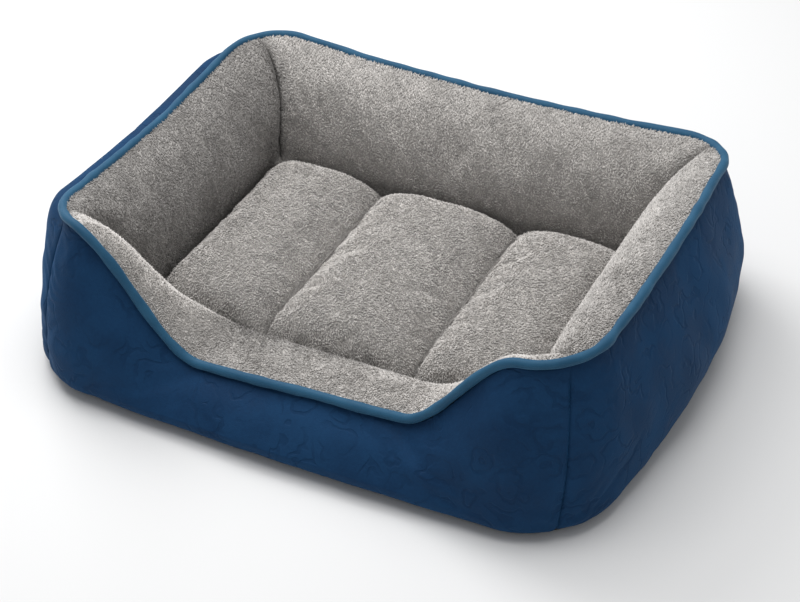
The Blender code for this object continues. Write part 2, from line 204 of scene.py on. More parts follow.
def thicken(piece: bpy.types.Object, thickness: float) -> None:
    """Give a sheet of points the thickness of its cloth, inwards."""
    solidify = piece.modifiers.new("Cloth thickness", "SOLIDIFY")
    solidify.thickness = thickness
    solidify.offset = -1.0


def cloth_piece(name: str, grid: np.ndarray, thickness: float, material: bpy.types.Material, body: str) -> bpy.types.Object:
    """A sewn panel: a grid of points given the thickness of its cloth, inwards.

    Args:
        name: the piece's name.
        grid: rows and columns of points on the outside of the cloth.
        thickness: of the cloth.
        material: its finish.
        body: the body it rides on.

    Returns:
        The new object, with a map that follows its rows and columns.
    """
    rows, columns = grid.shape[:2]
    v, u = np.meshgrid(np.linspace(0.01, 0.99, rows), np.linspace(0.01, 0.99, columns), indexing="ij")
    uv = np.stack([u, v], axis=-1).reshape(-1, 2)
    mesh = new_mesh(name, grid.reshape(-1, 3), grid_quads(rows, columns), uv)
    piece = new_piece(name, mesh, material, body)
    thicken(piece, thickness)
    return piece


# Stuffing by cloth simulation


@dataclass(frozen=True)
class Stuffing:
    """Blows up a sewn shell: pressure inside, no gravity, seams held, and spare cloth that puckers."""

    pressure: float = 4.0
    spare: float = 0.03
    frames: int = 20
    cap: float = 0.007
    stiffness: float = 15.0
    bending: float = 0.5
    quality: int = 6

    def swell(self, points: np.ndarray, faces: np.ndarray, held: np.ndarray) -> np.ndarray:
        """Simulate the shell and return how far each point moved.

        Args:
            points: the sewn shape, one place in each row.
            faces: its quads, facing outwards.
            held: True for each point that a seam holds still.

        Returns:
            A displacement for each point, eased to stay under the cap.
        """
        mesh = new_mesh("stuffing", points, faces)
        shell = bpy.data.objects.new("stuffing", mesh)
        scene = bpy.context.scene
        scene.collection.objects.link(shell)
        shell.vertex_groups.new(name="held").add(np.flatnonzero(held).tolist(), 1.0, "REPLACE")
        cloth = shell.modifiers.new("Cloth", "CLOTH")
        settings = cloth.settings
        settings.vertex_group_mass = "held"
        settings.quality = self.quality
        settings.use_pressure = True
        settings.uniform_pressure_force = self.pressure
        settings.shrink_min = -self.spare
        settings.tension_stiffness = settings.compression_stiffness = self.stiffness
        settings.bending_stiffness = self.bending
        settings.effector_weights.gravity = 0.0
        cloth.collision_settings.use_collision = False
        cloth.point_cache.frame_start, cloth.point_cache.frame_end = 1, self.frames
        for number in range(1, self.frames + 1):
            scene.frame_set(number)
        evaluated = shell.evaluated_get(bpy.context.evaluated_depsgraph_get())
        moved = np.empty(len(points) * 3, np.float32)
        evaluated.data.vertices.foreach_get("co", moved)
        bpy.data.objects.remove(shell, do_unlink=True)
        bpy.data.meshes.remove(mesh)
        scene.frame_set(1)
        shift = moved.reshape(-1, 3) - points
        distance = np.linalg.norm(shift, axis=1, keepdims=True)
        return shift * self.cap * np.tanh(distance / self.cap) / np.maximum(distance, 1e-9)


# The bed's plan


class Side(Enum):
    """The four sides, walked counter-clockwise; each value is its outward direction in plan."""

    FRONT = (0, -1)
    RIGHT = (1, 0)
    BACK = (0, 1)
    LEFT = (-1, 0)

    @property
    def outward(self) -> np.ndarray:
        """Outward direction in plan."""
        return np.array(self.value, float)

    @property
    def along(self) -> np.ndarray:
        """Direction of travel along the side in plan."""
        return np.array([-self.value[1], self.value[0]], float)

    @property
    def number(self) -> int:
        """The side's place in the walk, from 0."""
        return list(Side).index(self)

    @property
    def word(self) -> str:
        """The side's name in lower case."""
        return self.name.lower()


@dataclass(frozen=True)
class Columns:
    """Where a side's columns stand: the turn of the outline in radians, and the share along its straight."""

    turn: np.ndarray
    middle: np.ndarray

    @classmethod
    def of(cls, corner: int, straight: int, factor: int = 1) -> "Columns":
        """Lay out columns from mid-corner to mid-corner.

        Args:
            corner: steps in each half corner.
            straight: steps along the straight stretch.
            factor: how many steps replace each of those.

        Returns:
            The columns of one side.
        """
        arc = np.linspace(math.radians(45.0), 0.0, corner + 1)[:-1]
        turn = np.concatenate([-arc, np.zeros(straight + 1), arc[::-1]])
        middle = np.concatenate([-np.ones(corner), np.linspace(-1.0, 1.0, straight + 1), np.ones(corner)])
        return cls(refine_straight(turn, factor), refine_straight(middle, factor))


@dataclass(frozen=True)
class Outline:
    """A rounded rectangle in plan.

    Its radii run front-left, front-right, back-right, back-left, and its bows by side.
    """

    half_length: float
    half_depth: float
    radii: tuple[float, float, float, float]
    bows: tuple[float, float, float, float] = (0.0, 0.0, 0.0, 0.0)

    def points(self, side: Side, columns: Columns) -> tuple[np.ndarray, np.ndarray]:
        """Points and outward normals of one side, which ends where the next one starts.

        Over its last half corner the side eases across to the next side's first point.

        Args:
            side: which side.
            columns: where its columns stand.

        Returns:
            Plan points and plan normals, one for each column.
        """
        points, normals = self.swollen(side, columns)
        following = list(Side)[(side.number + 1) % 4]
        start, _ = self.swollen(following, Columns(columns.turn[:1], columns.middle[:1]))
        ease = smooth_step(columns.turn / columns.turn[-1])[:, None] * (columns.turn > 0.0)[:, None]
        return points + ease * (start - points[-1]), normals

    def swollen(self, side: Side, columns: Columns) -> tuple[np.ndarray, np.ndarray]:
        """One side of the rounded rectangle by itself.

        The straight stretch swells outwards by the side's bow at its middle, falling off as one minus the
        square of the place along the whole side.

        Args:
            side: which side.
            columns: where its columns stand.

        Returns:
            Plan points and plan normals, one for each column.
        """
        long_side = side in (Side.FRONT, Side.BACK)
        reach, run = (self.half_depth, self.half_length) if long_side else (self.half_length, self.half_depth)
        first, last = self.radii[side.number], self.radii[(side.number + 1) % 4]
        radius = np.where(columns.middle < 0.0, first, last)
        low, high = first - run, run - last
        place = (low + high) / 2.0 + columns.middle * (high - low) / 2.0 + radius * np.sin(columns.turn)
        swell = self.bows[side.number] * np.clip(1.0 - (place / run) ** 2, 0.0, 1.0)
        distance = reach - radius + radius * np.cos(columns.turn) + swell
        points = place[:, None] * side.along + distance[:, None] * side.outward
        normals = np.sin(columns.turn)[:, None] * side.along + np.cos(columns.turn)[:, None] * side.outward
        return points, normals


@dataclass(frozen=True)
class Rim:
    """The piping's centre line: its outline in plan, and its height with the low entrance at the front."""

    plan: Outline = Outline(0.273, 0.205, (0.055, 0.060, 0.050, 0.060), (0.007, 0.011, 0.005, 0.005))
    height: float = 0.174
    sag_right: float = -0.012
    sag_back: float = 0.016
    sag_left: float = 0.020
    entrance_height: float = 0.0655
    entrance_slope: float = 0.070
    entrance_left: float = -0.170
    entrance_right: float = 0.165
    ramp_left: float = 0.136
    ramp_right: float = 0.110
    end_share: float = 0.5
    flank_share: float = 0.6

    def line(self, side: Side, columns: Columns) -> tuple[np.ndarray, np.ndarray]:
        """The centre line along one side, level less each side's sag and low along the entrance.

        Args:
            side: which side.
            columns: where its columns stand.

        Returns:
            Points in space, and outward normals that lie level.
        """
        plan, normals = self.plan.points(side, columns)
        x, y = plan[:, 0] / self.plan.half_length, plan[:, 1] / self.plan.half_depth
        across, deep = np.clip(1.0 - x ** 2, 0.0, 1.0), np.clip(1.0 - y ** 2, 0.0, 1.0)
        end, flank = 1.0 - self.end_share, 1.0 - self.flank_share
        height = self.height - self.sag_back * across * smooth_step((y - self.end_share) / end)
        height = height - self.sag_left * deep * smooth_step((-x - self.flank_share) / flank)
        height = height - self.sag_right * deep * smooth_step((x - self.flank_share) / flank)
        ramp_up = smooth_step((plan[:, 0] - self.entrance_left) / self.ramp_left + 0.5)
        ramp_down = smooth_step((self.entrance_right - plan[:, 0]) / self.ramp_right + 0.5)
        low = ramp_up * ramp_down * smooth_step((-y - self.end_share) / end)
        height = height * (1.0 - low) + (self.entrance_height + self.entrance_slope * plan[:, 0]) * low
        level = np.zeros(len(plan))
        return np.column_stack([plan, height]), np.column_stack([normals, level])

    def steepness(self, line: np.ndarray) -> np.ndarray:
        """Share of each step of the line that lies level: one where it is level, less where it climbs."""
        step = unit(np.gradient(line, axis=0))
        return np.hypot(step[:, 0], step[:, 1])


# The stuffed sides


@dataclass
class StuffedRing:
    """The four stuffed sides: velvet outside, plush inside, sewn at the rim, the corners, base and crease.

    The sizes in fours run by side: front, right, back, left.
    """

    rim: Rim = Rim()
    belt: Outline = Outline(0.2860, 0.2465, (0.070,) * 4, (0.0095, 0.0310, 0.0095, 0.0310))
    crease: Outline = Outline(0.208, 0.136, (0.024,) * 4)
    belt_height: float = 0.0213
    belt_bulge: float = 0.0105
    base_rounding: float = 0.018
    crease_height: float = 0.051
    crease_tilt: float = 0.004
    lining_puff: float = 0.007
    lining_fullness: float = 0.91
    lining_fill: tuple[float, float, float, float] = (0.12, 0.45, 1.0, 1.15)
    fill_fade: float = 0.022
    corner_sway: float = 0.017
    sway_width: float = 0.045
    corner_tuck: float = 0.027
    corner_tuck_width: float = 0.011
    tuck_end: float = 0.3
    front_skew: float = 0.0032
    skew_start: float = 0.2
    skew_height: float = 0.12
    skew_fade: float = 0.10
    shoulder: tuple[float, float, float, float] = (0.0, 0.0, 0.009, 0.024)
    shoulder_rise: float = 0.45
    shoulder_share: float = 0.04
    shoulder_fade: float = 0.080
    right_belly: float = 0.0085
    belly_place: float = 0.12
    belly_width: float = 0.5
    belly_power: float = 2.2
    front_steepness: float = 9.0
    level_rise: float = 0.020
    climb_limit: float = 0.060
    seam_groove: float = 0.0022
    seam_groove_width: float = 0.0030
    pucker: float = 0.0016
    pucker_spacing: float = 0.021
    pucker_width: float = 0.012
    pucker_at_rim: float = 0.35
    dent: float = 0.0009
    dent_clear: float = 0.008
    rim_fade: float = 0.12
    velvet_thickness: float = 0.0015
    plush_thickness: float = 0.0024
    corner_steps: int = 7
    straight_steps: tuple[int, int, int, int] = (72, 46, 72, 46)
    panel_steps: int = 25
    rounding_steps: int = 5
    lining_steps: int = 30
    drop_steps: int = 4
    refined: int = 3
    velvet_cap: float = 0.0032
    stuffing: Stuffing = Stuffing(cap=0.0065, spare=0.003)
    outer: dict[Side, np.ndarray] = field(default_factory=dict)
    lining: dict[Side, np.ndarray] = field(default_factory=dict)

    def columns(self, side: Side, factor: int = 1) -> Columns:
        """Columns of one side, coarse for the simulation or refined by a factor."""
        return Columns.of(self.corner_steps, self.straight_steps[side.number], factor)

    def seam_distance(self, plan: np.ndarray) -> np.ndarray:
        """Distance along the side from each column to its nearer corner seam."""
        step = np.linalg.norm(np.diff(plan[:, :2], axis=0), axis=1)
        run = np.concatenate([[0.0], np.cumsum(step)])
        return np.minimum(run, run[-1] - run)

    def outer_rows(self, side: Side, factor: int = 1) -> np.ndarray:
        """Outer face of one side, from under the piping to the base.

        It leans from the rim out to the belt with a half-sine bulge in proportion to its height, then rounds
        under by a quarter circle. Its filling adds a shoulder close under the rim and a belly on the right.

        Args:
            side: which side.
            factor: how many steps replace each coarse one.

        Returns:
            A grid of points, rows down and columns along.
        """
        columns = self.columns(side, factor)
        line, outward = self.rim.line(side, columns)
        belt, _ = self.belt.points(side, columns)
        top = line[:, 2] - (PIPING_RADIUS + 2.0 * GAP) / self.rim.steepness(line)
        bulge = self.belt_bulge * (top - self.belt_height) / (self.rim.height - self.belt_height)
        part = refine_straight(np.linspace(0.0, 1.0, self.panel_steps + 1), factor)[:, None, None]
        plan = line[:, :2] * (1.0 - part) + belt * part
        plan = plan + outward[:, :2] * bulge[:, None] * np.sin(math.pi * part)
        plan = plan + outward[:, :2] * self.extra_fill(side, belt, part)
        down = part[:, :, 0]
        lift = self.shoulder_rise * self.shoulder_fill(side, belt, part)[:, :, 0]
        height = top + (self.belt_height - top) * down
        height = height + lift * (1.0 - down) ** 2
        panel = np.concatenate([plan, height[:, :, None]], axis=2)
        angle = refine_straight(np.linspace(0.0, math.pi / 2.0, self.rounding_steps + 1), factor)[1:]
        under = belt - outward[:, :2] * self.base_rounding * (1.0 - np.cos(angle))[:, None, None]
        low = self.belt_height - self.base_rounding * np.sin(angle)
        low = np.broadcast_to(low[:, None, None], under.shape[:2] + (1,))
        return self.skew(np.concatenate([panel, np.concatenate([under, low], axis=2)]))

    def extra_fill(self, side: Side, belt: np.ndarray, part: np.ndarray) -> np.ndarray:
        """How far the filling pushes the velvet out beyond the plain section.

        Besides the shoulder, the right side has a belly: a bell curve along it, times half a sine wave of a
        power of the way down.

        Args:
            side: which side.
            belt: plan points of its widest line.
            part: share of the way from the rim to the belt, one for each row.

        Returns:
            A distance for each row and column.
        """
        push = self.shoulder_fill(side, belt, part)
        if side is Side.RIGHT:
            clear = smooth_step(self.seam_distance(belt) / self.shoulder_fade)[None, :, None]
            place = (belt[:, 1] / self.belt.half_depth - self.belly_place) / self.belly_width
            middle = np.exp(-place ** 2)[None, :, None]
            push = push + self.right_belly * clear * middle * np.sin(math.pi * part ** self.belly_power)
        return push

    def shoulder_fill(self, side: Side, belt: np.ndarray, part: np.ndarray) -> np.ndarray:
        """How far the filling rounds out close under the rim.

        It is one less an exponential of the way down, times the square of the way left to the belt, and it
        fades out at the corner seams.

        Args:
            side: which side.
            belt: plan points of its widest line.
            part: share of the way from the rim to the belt, one for each row.

        Returns:
            A distance for each row and column.
        """
        clear = smooth_step(self.seam_distance(belt) / self.shoulder_fade)[None, :, None]
        shape = (1.0 - np.exp(-part / self.shoulder_share)) * (1.0 - part) ** 2
        return self.shoulder[side.number] * shape * clear

    def skew(self, grid: np.ndarray) -> np.ndarray:
        """Turn the low part of the front face a little in plan: forward on the left, back on the right."""
        front = -grid[:, :, 1] / self.belt.half_depth
        near = smooth_step((front - self.skew_start) / (1.0 - self.skew_start))
        low = smooth_step((self.skew_height - grid[:, :, 2]) / self.skew_fade)
        turned = grid.copy()
        turned[:, :, 1] += self.front_skew * grid[:, :, 0] / self.belt.half_length * near * low
        return turned

    def lining_rows(self, side: Side, factor: int = 1) -> np.ndarray:
        """Inner face of one side, from behind the piping over the roll to the crease, then down to the floor.

        Each section is a quarter of a superellipse between the rim and the crease, raised a little by its
        filling. The front one falls more steeply where it climbs, by a larger power. At the corner seams it
        is tucked outwards, by an exponential that falls off along the side and rises and falls down the
        section. The seam at the back left sways to the right by a squared sine down the section.

        Args:
            side: which side.
            factor: how many steps replace each coarse one.

        Returns:
            A grid of points, rows down and columns along.
        """
        columns = self.columns(side, factor)
        line, outward = self.rim.line(side, columns)
        crease, _ = self.crease.points(side, columns)
        start = line[:, :2] - outward[:, :2] * (PIPING_RADIUS + 2.0 * GAP)
        low = self.crease_height + self.crease_tilt * crease[:, 1] / self.crease.half_depth
        rise = line[:, 2] - (PIPING_RADIUS + GAP) * (1.0 / self.rim.steepness(line) - 1.0) - low
        angle = refine_straight(np.linspace(0.0, math.pi / 2.0, self.lining_steps + 1), factor)[:, None, None]
        power = np.full((1, len(line), 1), self.lining_fullness)
        if side is Side.FRONT:
            climb = np.clip(rise - self.level_rise, 0.0, self.climb_limit)
            clear = 1.0 - np.exp(-self.seam_distance(start) / self.fill_fade)
            power = power + (self.front_steepness * climb * clear)[None, :, None]
        inward = np.sin(angle) ** power
        upward = np.clip(np.cos(angle), 0.0, 1.0) ** power
        plan = start * (1.0 - inward) + crease * inward
        tuck = self.corner_tuck * np.exp(-self.seam_distance(start) / self.corner_tuck_width)
        level = np.clip(np.cos(angle), 0.0, 1.0)
        fade = np.sin(np.clip(2.0 * angle, 0.0, math.pi / 2.0)) * level ** self.tuck_end
        plan = plan + outward[:, :2] * tuck[:, None] * fade
        corner = start - np.array([-self.rim.plan.half_length, self.rim.plan.half_depth])
        near = np.exp(-np.hypot(corner[:, 0], corner[:, 1]) / self.sway_width)
        plan[:, :, 0] += self.corner_sway * near * np.sin(2.0 * angle[:, :, 0]) ** 2
        puff = self.lining_puff * self.fill_share(side, start)
        height = low + rise * upward[:, :, 0] + puff * np.sin(angle[:, :, 0]) * np.sqrt(upward[:, :, 0])
        roll = np.concatenate([plan, height[:, :, None]], axis=2)
        part = refine_straight(np.linspace(0.0, 1.0, self.drop_steps + 1), factor)[1:, None]
        drop = np.stack([np.broadcast_to(crease[:, 0], (len(part), len(crease))),
                         np.broadcast_to(crease[:, 1], (len(part), len(crease))),
                         low * (1.0 - part) + PANEL_FLOOR * part], axis=2)
        return np.concatenate([roll, drop])

    def fill_share(self, side: Side, plan: np.ndarray) -> np.ndarray:
        """How full the lining of a side is at each column: its own share, fading out towards the seams."""
        return self.lining_fill[side.number] * (1.0 - np.exp(-self.seam_distance(plan) / self.fill_fade))

    def stuff(self) -> None:
        """Blow up the whole ring with its seams held, and keep each side's refined faces."""
        outer = [self.outer_rows(side)[:, :-1] for side in Side]
        lining = [self.lining_rows(side)[:, :-1] for side in Side]
        ring = np.concatenate([np.concatenate(lining, axis=1)[::-1], np.concatenate(outer, axis=1)])
        rows, count = ring.shape[:2]
        lining_rows, outer_rows = lining[0].shape[0], outer[0].shape[0]
        held = np.zeros((rows, count), bool)
        held[:self.drop_steps + 1] = True
        held[lining_rows - 1:lining_rows + 1] = True
        held[-1] = True
        starts = np.cumsum([0] + [part.shape[1] for part in outer])[:-1]
        held[:, starts] = True
        shift = self.stuffing.swell(ring.reshape(-1, 3), grid_quads(rows, count, True, True), held.ravel())
        shift = shift.reshape(rows, count, 3)
        for side, start in zip(Side, starts):
            width = self.columns(side).turn.size
            part = shift[:, np.arange(start, start + width) % count]
            lining_shift = refine(refine(part[:lining_rows][::-1], self.refined, 0), self.refined, 1)
            outer_shift = refine(refine(part[lining_rows:], self.refined, 0), self.refined, 1)
            outer_shift = outer_shift * self.velvet_cap / self.stuffing.cap
            lining_shift = lining_shift * self.lining_fill[side.number]
            self.lining[side] = self.lining_rows(side, self.refined) + lining_shift
            _, outward = self.belt.points(side, self.columns(side, self.refined))
            self.outer[side] = self.sew_corners(self.outer_rows(side, self.refined) + outer_shift, outward)
        log.info("stuffed ring: %d points simulated, %d outer rows", rows * count, outer_rows)

    def sew_corners(self, grid: np.ndarray, outward: np.ndarray) -> np.ndarray:
        """Draw the velvet in at both corner seams and pucker it beside them.

        The groove is an exponential across the seam. The puckers are waves down the seam that fade out
        along the side, strongest near the base. Shallow dents lie all over the face.

        Args:
            grid: one side's outer face.
            outward: plan normals of its columns.

        Returns:
            The same grid with its corners sewn.
        """
        normal = np.column_stack([outward, np.zeros(len(outward))])[None]
        away = self.seam_distance(grid[len(grid) // 2])[None, :]
        down = np.linspace(0.0, 1.0, len(grid))[:, None]
        groove = -self.seam_groove * np.exp(-away / self.seam_groove_width)
        wave = np.sin(2.0 * math.pi * (grid[:, :, 2] / self.pucker_spacing + Ripple(11, 0.08).at(grid)))
        share = away / self.pucker_width
        growth = self.pucker_at_rim + (1.0 - self.pucker_at_rim) * down
        strength = self.pucker * growth * share * np.exp(1.0 - share)
        soft = self.dent * Ripple(12, 0.055).at(grid) * np.sqrt(np.sin(math.pi * down).clip(0.0))
        soft = soft * (1.0 - np.exp(-away / self.dent_clear))
        fade = smooth_step(down / self.rim_fade)
        return grid + normal * ((groove + wave * strength * 0.5 + soft) * fade)[:, :, None]

    def dress(self, velvet: bpy.types.Material, plush: bpy.types.Material) -> None:
        """Make the velvet and the plush of each side as pieces.

        Args:
            velvet: finish of the outside.
            plush: finish of the cloth under the pile.
        """
        for side in Side:
            casing = cloth_piece(f"velvet_{side.word}", self.outer[side], self.velvet_thickness, velvet,
                                 "bed")
            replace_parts(casing, f"outer_panel_{side.word}")
            under_pile = self.lining[side][::-self.refined, ::self.refined]
            lining = cloth_piece(f"plush_{side.word}", under_pile, self.plush_thickness, plush, "bed")
            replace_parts(lining, f"lining_{side.word}", f"bolster_fill_{side.word}")
            log.info("%s side: velvet and plush", side.word)


# The pile


@dataclass(frozen=True)
class Pile:
    """Plush pile: one curved tuft, two three-sided cones base to base, repeated over a surface."""

    spacing: float = 0.00134
    length: float = 0.0038
    width: float = 0.00146
    lean: float = math.radians(48.0)
    sunk: float = 0.0006
    swirl_length: float = 0.055
    clump_length: float = 0.011
    widest: float = 0.38
    swirl_turn: float = 0.44
    clump_turn: float = 0.30
    stray_turn: float = 0.45
    clump_lean: float = 0.07
    stray_lean: float = 0.17
    lengths: tuple[float, float] = (0.78, 1.18)
    widths: tuple[float, float] = (0.75, 1.2)
    arch: tuple[float, float] = (0.22, -0.10)
    patch_tone: float = 0.03
    clump_tone: float = 0.035
    stray_tone: float = 0.095

    def roots(self, grid: np.ndarray, random: np.random.Generator) -> tuple[np.ndarray, np.ndarray]:
        """Scatter roots evenly by area over a grid.

        Args:
            grid: rows and columns of points.
            random: source of the scatter.

        Returns:
            The row and column of each root, as fractions.
        """
        a = grid[1:, :-1] - grid[:-1, :-1]
        b = grid[:-1, 1:] - grid[:-1, :-1]
        area = np.linalg.norm(np.cross(a, b), axis=2).ravel()
        total = np.cumsum(area)
        count = int(total[-1] / self.spacing ** 2)
        cell = np.searchsorted(total, (np.arange(count) + random.random(count)) / count * total[-1])
        cell = np.minimum(cell, area.size - 1)
        row, column = np.divmod(cell, grid.shape[1] - 1)
        return row + random.random(count), column + random.random(count)

    def grow(self, name: str, grid: np.ndarray, comb: np.ndarray, height: np.ndarray, tone: np.ndarray,
             seed: int, material: bpy.types.Material, body: str) -> bpy.types.Object:
        """Grow the pile on a grid and make it a piece.

        A tuft leans from the surface's normal towards its combed direction, turned by a swirl that varies
        over some centimetres and by a clump that varies over one.

        Args:
            name: the piece's name.
            grid: rows and columns of points on the plush.
            comb: the combed direction at each point, in space.
            height: the share of the full length at each point.
            tone: how much paler or darker the pile is painted at each point; the callers pass painted light
                and shade in it.
            seed: for the scatter.
            material: the pile's finish.
            body: the body it rides on.

        Returns:
            The new piece.
        """
        random = np.random.default_rng(seed)
        row, column = self.roots(grid, random)
        top, left = row.astype(int), column.astype(int)
        down, right = (row - top)[:, None], (column - left)[:, None]

        def pick(values: np.ndarray) -> np.ndarray:
            """Blend a grid's four nearest values at each root."""
            upper = values[top, left] * (1.0 - right) + values[top, left + 1] * right
            lower = values[top + 1, left] * (1.0 - right) + values[top + 1, left + 1] * right
            return upper * (1.0 - down) + lower * down

        root, normal = pick(grid), unit(pick(grid_normals(grid)))
        share = pick(height[:, :, None])
        flow = pick(comb)
        flow = unit(flow - normal * (flow * normal).sum(axis=1, keepdims=True))
        side = np.cross(normal, flow)
        swirl = self.swirl_turn * Ripple(21, self.swirl_length).at(root)
        swirl = swirl + self.clump_turn * Ripple(22, self.clump_length).at(root)
        swirl = (swirl + random.normal(0.0, self.stray_turn, len(root)))[:, None]
        flow, side = flow * np.cos(swirl) + side * np.sin(swirl), side * np.cos(swirl) - flow * np.sin(swirl)
        clump = Ripple(23, self.clump_length * 0.8).at(root)[:, None]
        lean = self.lean + self.clump_lean * clump + random.normal(0.0, self.stray_lean, (len(root), 1))
        length = self.length * share * random.uniform(*self.lengths, (len(root), 1))
        width = self.width * random.uniform(*self.widths, (len(root), 1)) * np.sqrt(share)
        stand, lie = np.cos(lean), np.sin(lean)
        foot = root - normal * self.sunk
        tip = foot + length * (stand * normal + lie * flow)
        rise, reach = self.arch
        belly = foot + length * self.widest * ((stand + rise) * normal + (lie + reach) * flow)
        ring = [belly + width * (math.cos(turn) * side + math.sin(turn) * normal) / 2.0
                for turn in np.radians([90.0, 210.0, 330.0])]
        points = np.stack([foot, *ring, tip], axis=1)
        order = np.array([[0, 2, 1], [0, 3, 2], [0, 1, 3], [4, 1, 2], [4, 2, 3], [4, 3, 1]])
        faces = (np.arange(len(root)) * 5)[:, None, None] + order[None]
        # The shade holds the tone passed in, which is painted light and shade, plus random differences by
        # patch, clump and tuft.
        shade = 0.5 + pick(tone[:, :, None])[:, 0] + self.patch_tone * Ripple(24, 0.030).at(root)
        shade = shade + self.clump_tone * clump[:, 0] + random.normal(0.0, self.stray_tone, len(root))
        shade = np.clip(shade, 0.02, 0.98)
        u = shade[:, None] + np.array([0.0, -0.008, 0.0, 0.008, 0.0])
        v = np.broadcast_to(np.array([0.02, 0.42, 0.40, 0.42, 0.98]), u.shape)
        uv = np.stack([u, v], axis=2)
        mesh = new_mesh(name, points.reshape(-1, 3), faces.reshape(-1, 3), uv.reshape(-1, 2))
        piece = new_piece(name, mesh, material, body)
        log.info("%s: %d tufts", name, len(root))
        return piece


@dataclass
class LiningPile:
    """The pile of the four linings, combed up towards the rim and shorter in the seams. Its colour carries
    painted light and shade: each side is painted paler or darker for how the light falls on it, and darker
    still in the corner seams and towards the crease.
    """

    ring: StuffedRing
    pile: Pile = Pile()
    seam_width: float = 0.010
    seam_height: float = 0.40
    # Painted light and shade by side (front, right, back, left): the front pile is painted paler and the left
    # much darker, for how the light falls.
    tone: tuple[float, float, float, float] = (0.12, -0.04, -0.02, -0.30)
    # Painted shade in the corner seams and towards the crease: how much darker, and the widths over which it
    # fades.
    fold_painted_shade: float = 0.55
    seam_painted_shade_width: float = 0.006
    crease_painted_shade_width: float = 0.008
    pieces: tuple[int, int, int, int] = (1, 1, 2, 1)

    def build(self, material: bpy.types.Material) -> None:
        """Grow the pile on each side, in as many pieces as its area asks for.

        Args:
            material: the pile's finish.
        """
        for side in Side:
            grid = self.ring.lining[side]
            grid = grid[:grid.shape[0] - self.ring.drop_steps * self.ring.refined + 4][::-1]
            comb = np.gradient(grid, axis=0)
            away = self.ring.seam_distance(grid[len(grid) // 2])[None, :]
            height = self.seam_height + (1.0 - self.seam_height) * smooth_step(away / self.seam_width)
            height = np.broadcast_to(height, grid.shape[:2])
            # Painted shade: darker near the corner seams and just above the crease, added to the side's
            # painted light or shade.
            above = np.clip(grid[:, :, 2] - self.ring.crease_height, 0.0, None)
            deep = np.exp(-away / self.seam_painted_shade_width) + np.exp(-above / self.crease_painted_shade_width)
            tone = self.tone[side.number] - self.fold_painted_shade * np.clip(deep, 0.0, 1.0)
            parts = np.array_split(np.arange(grid.shape[1] - 1), self.pieces[side.number])
            for number, part in enumerate(parts, start=1):
                span = slice(part[0], part[-1] + 2)
                self.pile.grow(f"pile_{side.word}_{number}", grid[:, span], comb[:, span], height[:, span],
                               tone[:, span], 100 + 10 * side.number + number, material, "bed")


# The piping


@dataclass
class Piping:
    """The bias strip round the rim: a round tube with the small waves of a cord sewn into cloth."""

    ring: StuffedRing
    radius: float = 0.0046
    cord_radius: float = 0.0022
    sides: int = 18
    waver: float = 0.0006
    lumps: float = 0.00034

    def build(self, strip: bpy.types.Material, cord: bpy.types.Material) -> None:
        """Carry a circle along the rim and close it, once for the strip and once for the cord inside it.

        The circle stands across the line; its centre wavers and its radius swells by small smooth fields.

        Args:
            strip: finish of the strip.
            cord: finish of the cord.
        """
        sides = [self.ring.rim.line(side, self.ring.columns(side, self.ring.refined)) for side in Side]
        line = np.concatenate([points[:-1] for points, _ in sides])
        outward = np.concatenate([normals[:-1] for _, normals in sides])
        tangent = unit(np.roll(line, -1, axis=0) - np.roll(line, 1, axis=0))
        upward = unit(np.cross(outward, tangent))
        line = line + self.waver * (Ripple(31, 0.06).at(line)[:, None] * outward * 0.6
                                    + Ripple(32, 0.07).at(line)[:, None] * upward * 0.6)
        run = np.concatenate([[0.0], np.cumsum(np.linalg.norm(np.diff(line, axis=0), axis=1))])
        sizes = (("piping_strip", "piping_cover", self.radius, self.sides, strip, "piping"),
                 ("piping_filler", "piping_cord", self.cord_radius, 8, cord, "cord"))
        for name, node, size, count, material, slot in sizes:
            angle = np.linspace(0.0, 2.0 * math.pi, count, endpoint=False)[:, None, None]
            radius = (size + self.lumps * Ripple(33, 0.02).at(line))[None, :, None]
            grid = line + radius * (np.cos(angle) * outward + np.sin(angle) * upward)
            around = np.linspace(0.0, 2.0 * math.pi * size, count, endpoint=False)
            v, u = np.meshgrid(around, run, indexing="ij")
            uv = np.stack([u, v], axis=-1).reshape(-1, 2)
            quads = grid_quads(grid.shape[0], grid.shape[1], True, True)
            mesh = new_mesh(name, grid[::-1].reshape(-1, 3), quads, uv, "lay")
            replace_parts(new_piece(name, mesh, material, "bed"), node)
        log.info("piping: %d mm long", round(run[-1] * 1000))


# The seat cushion


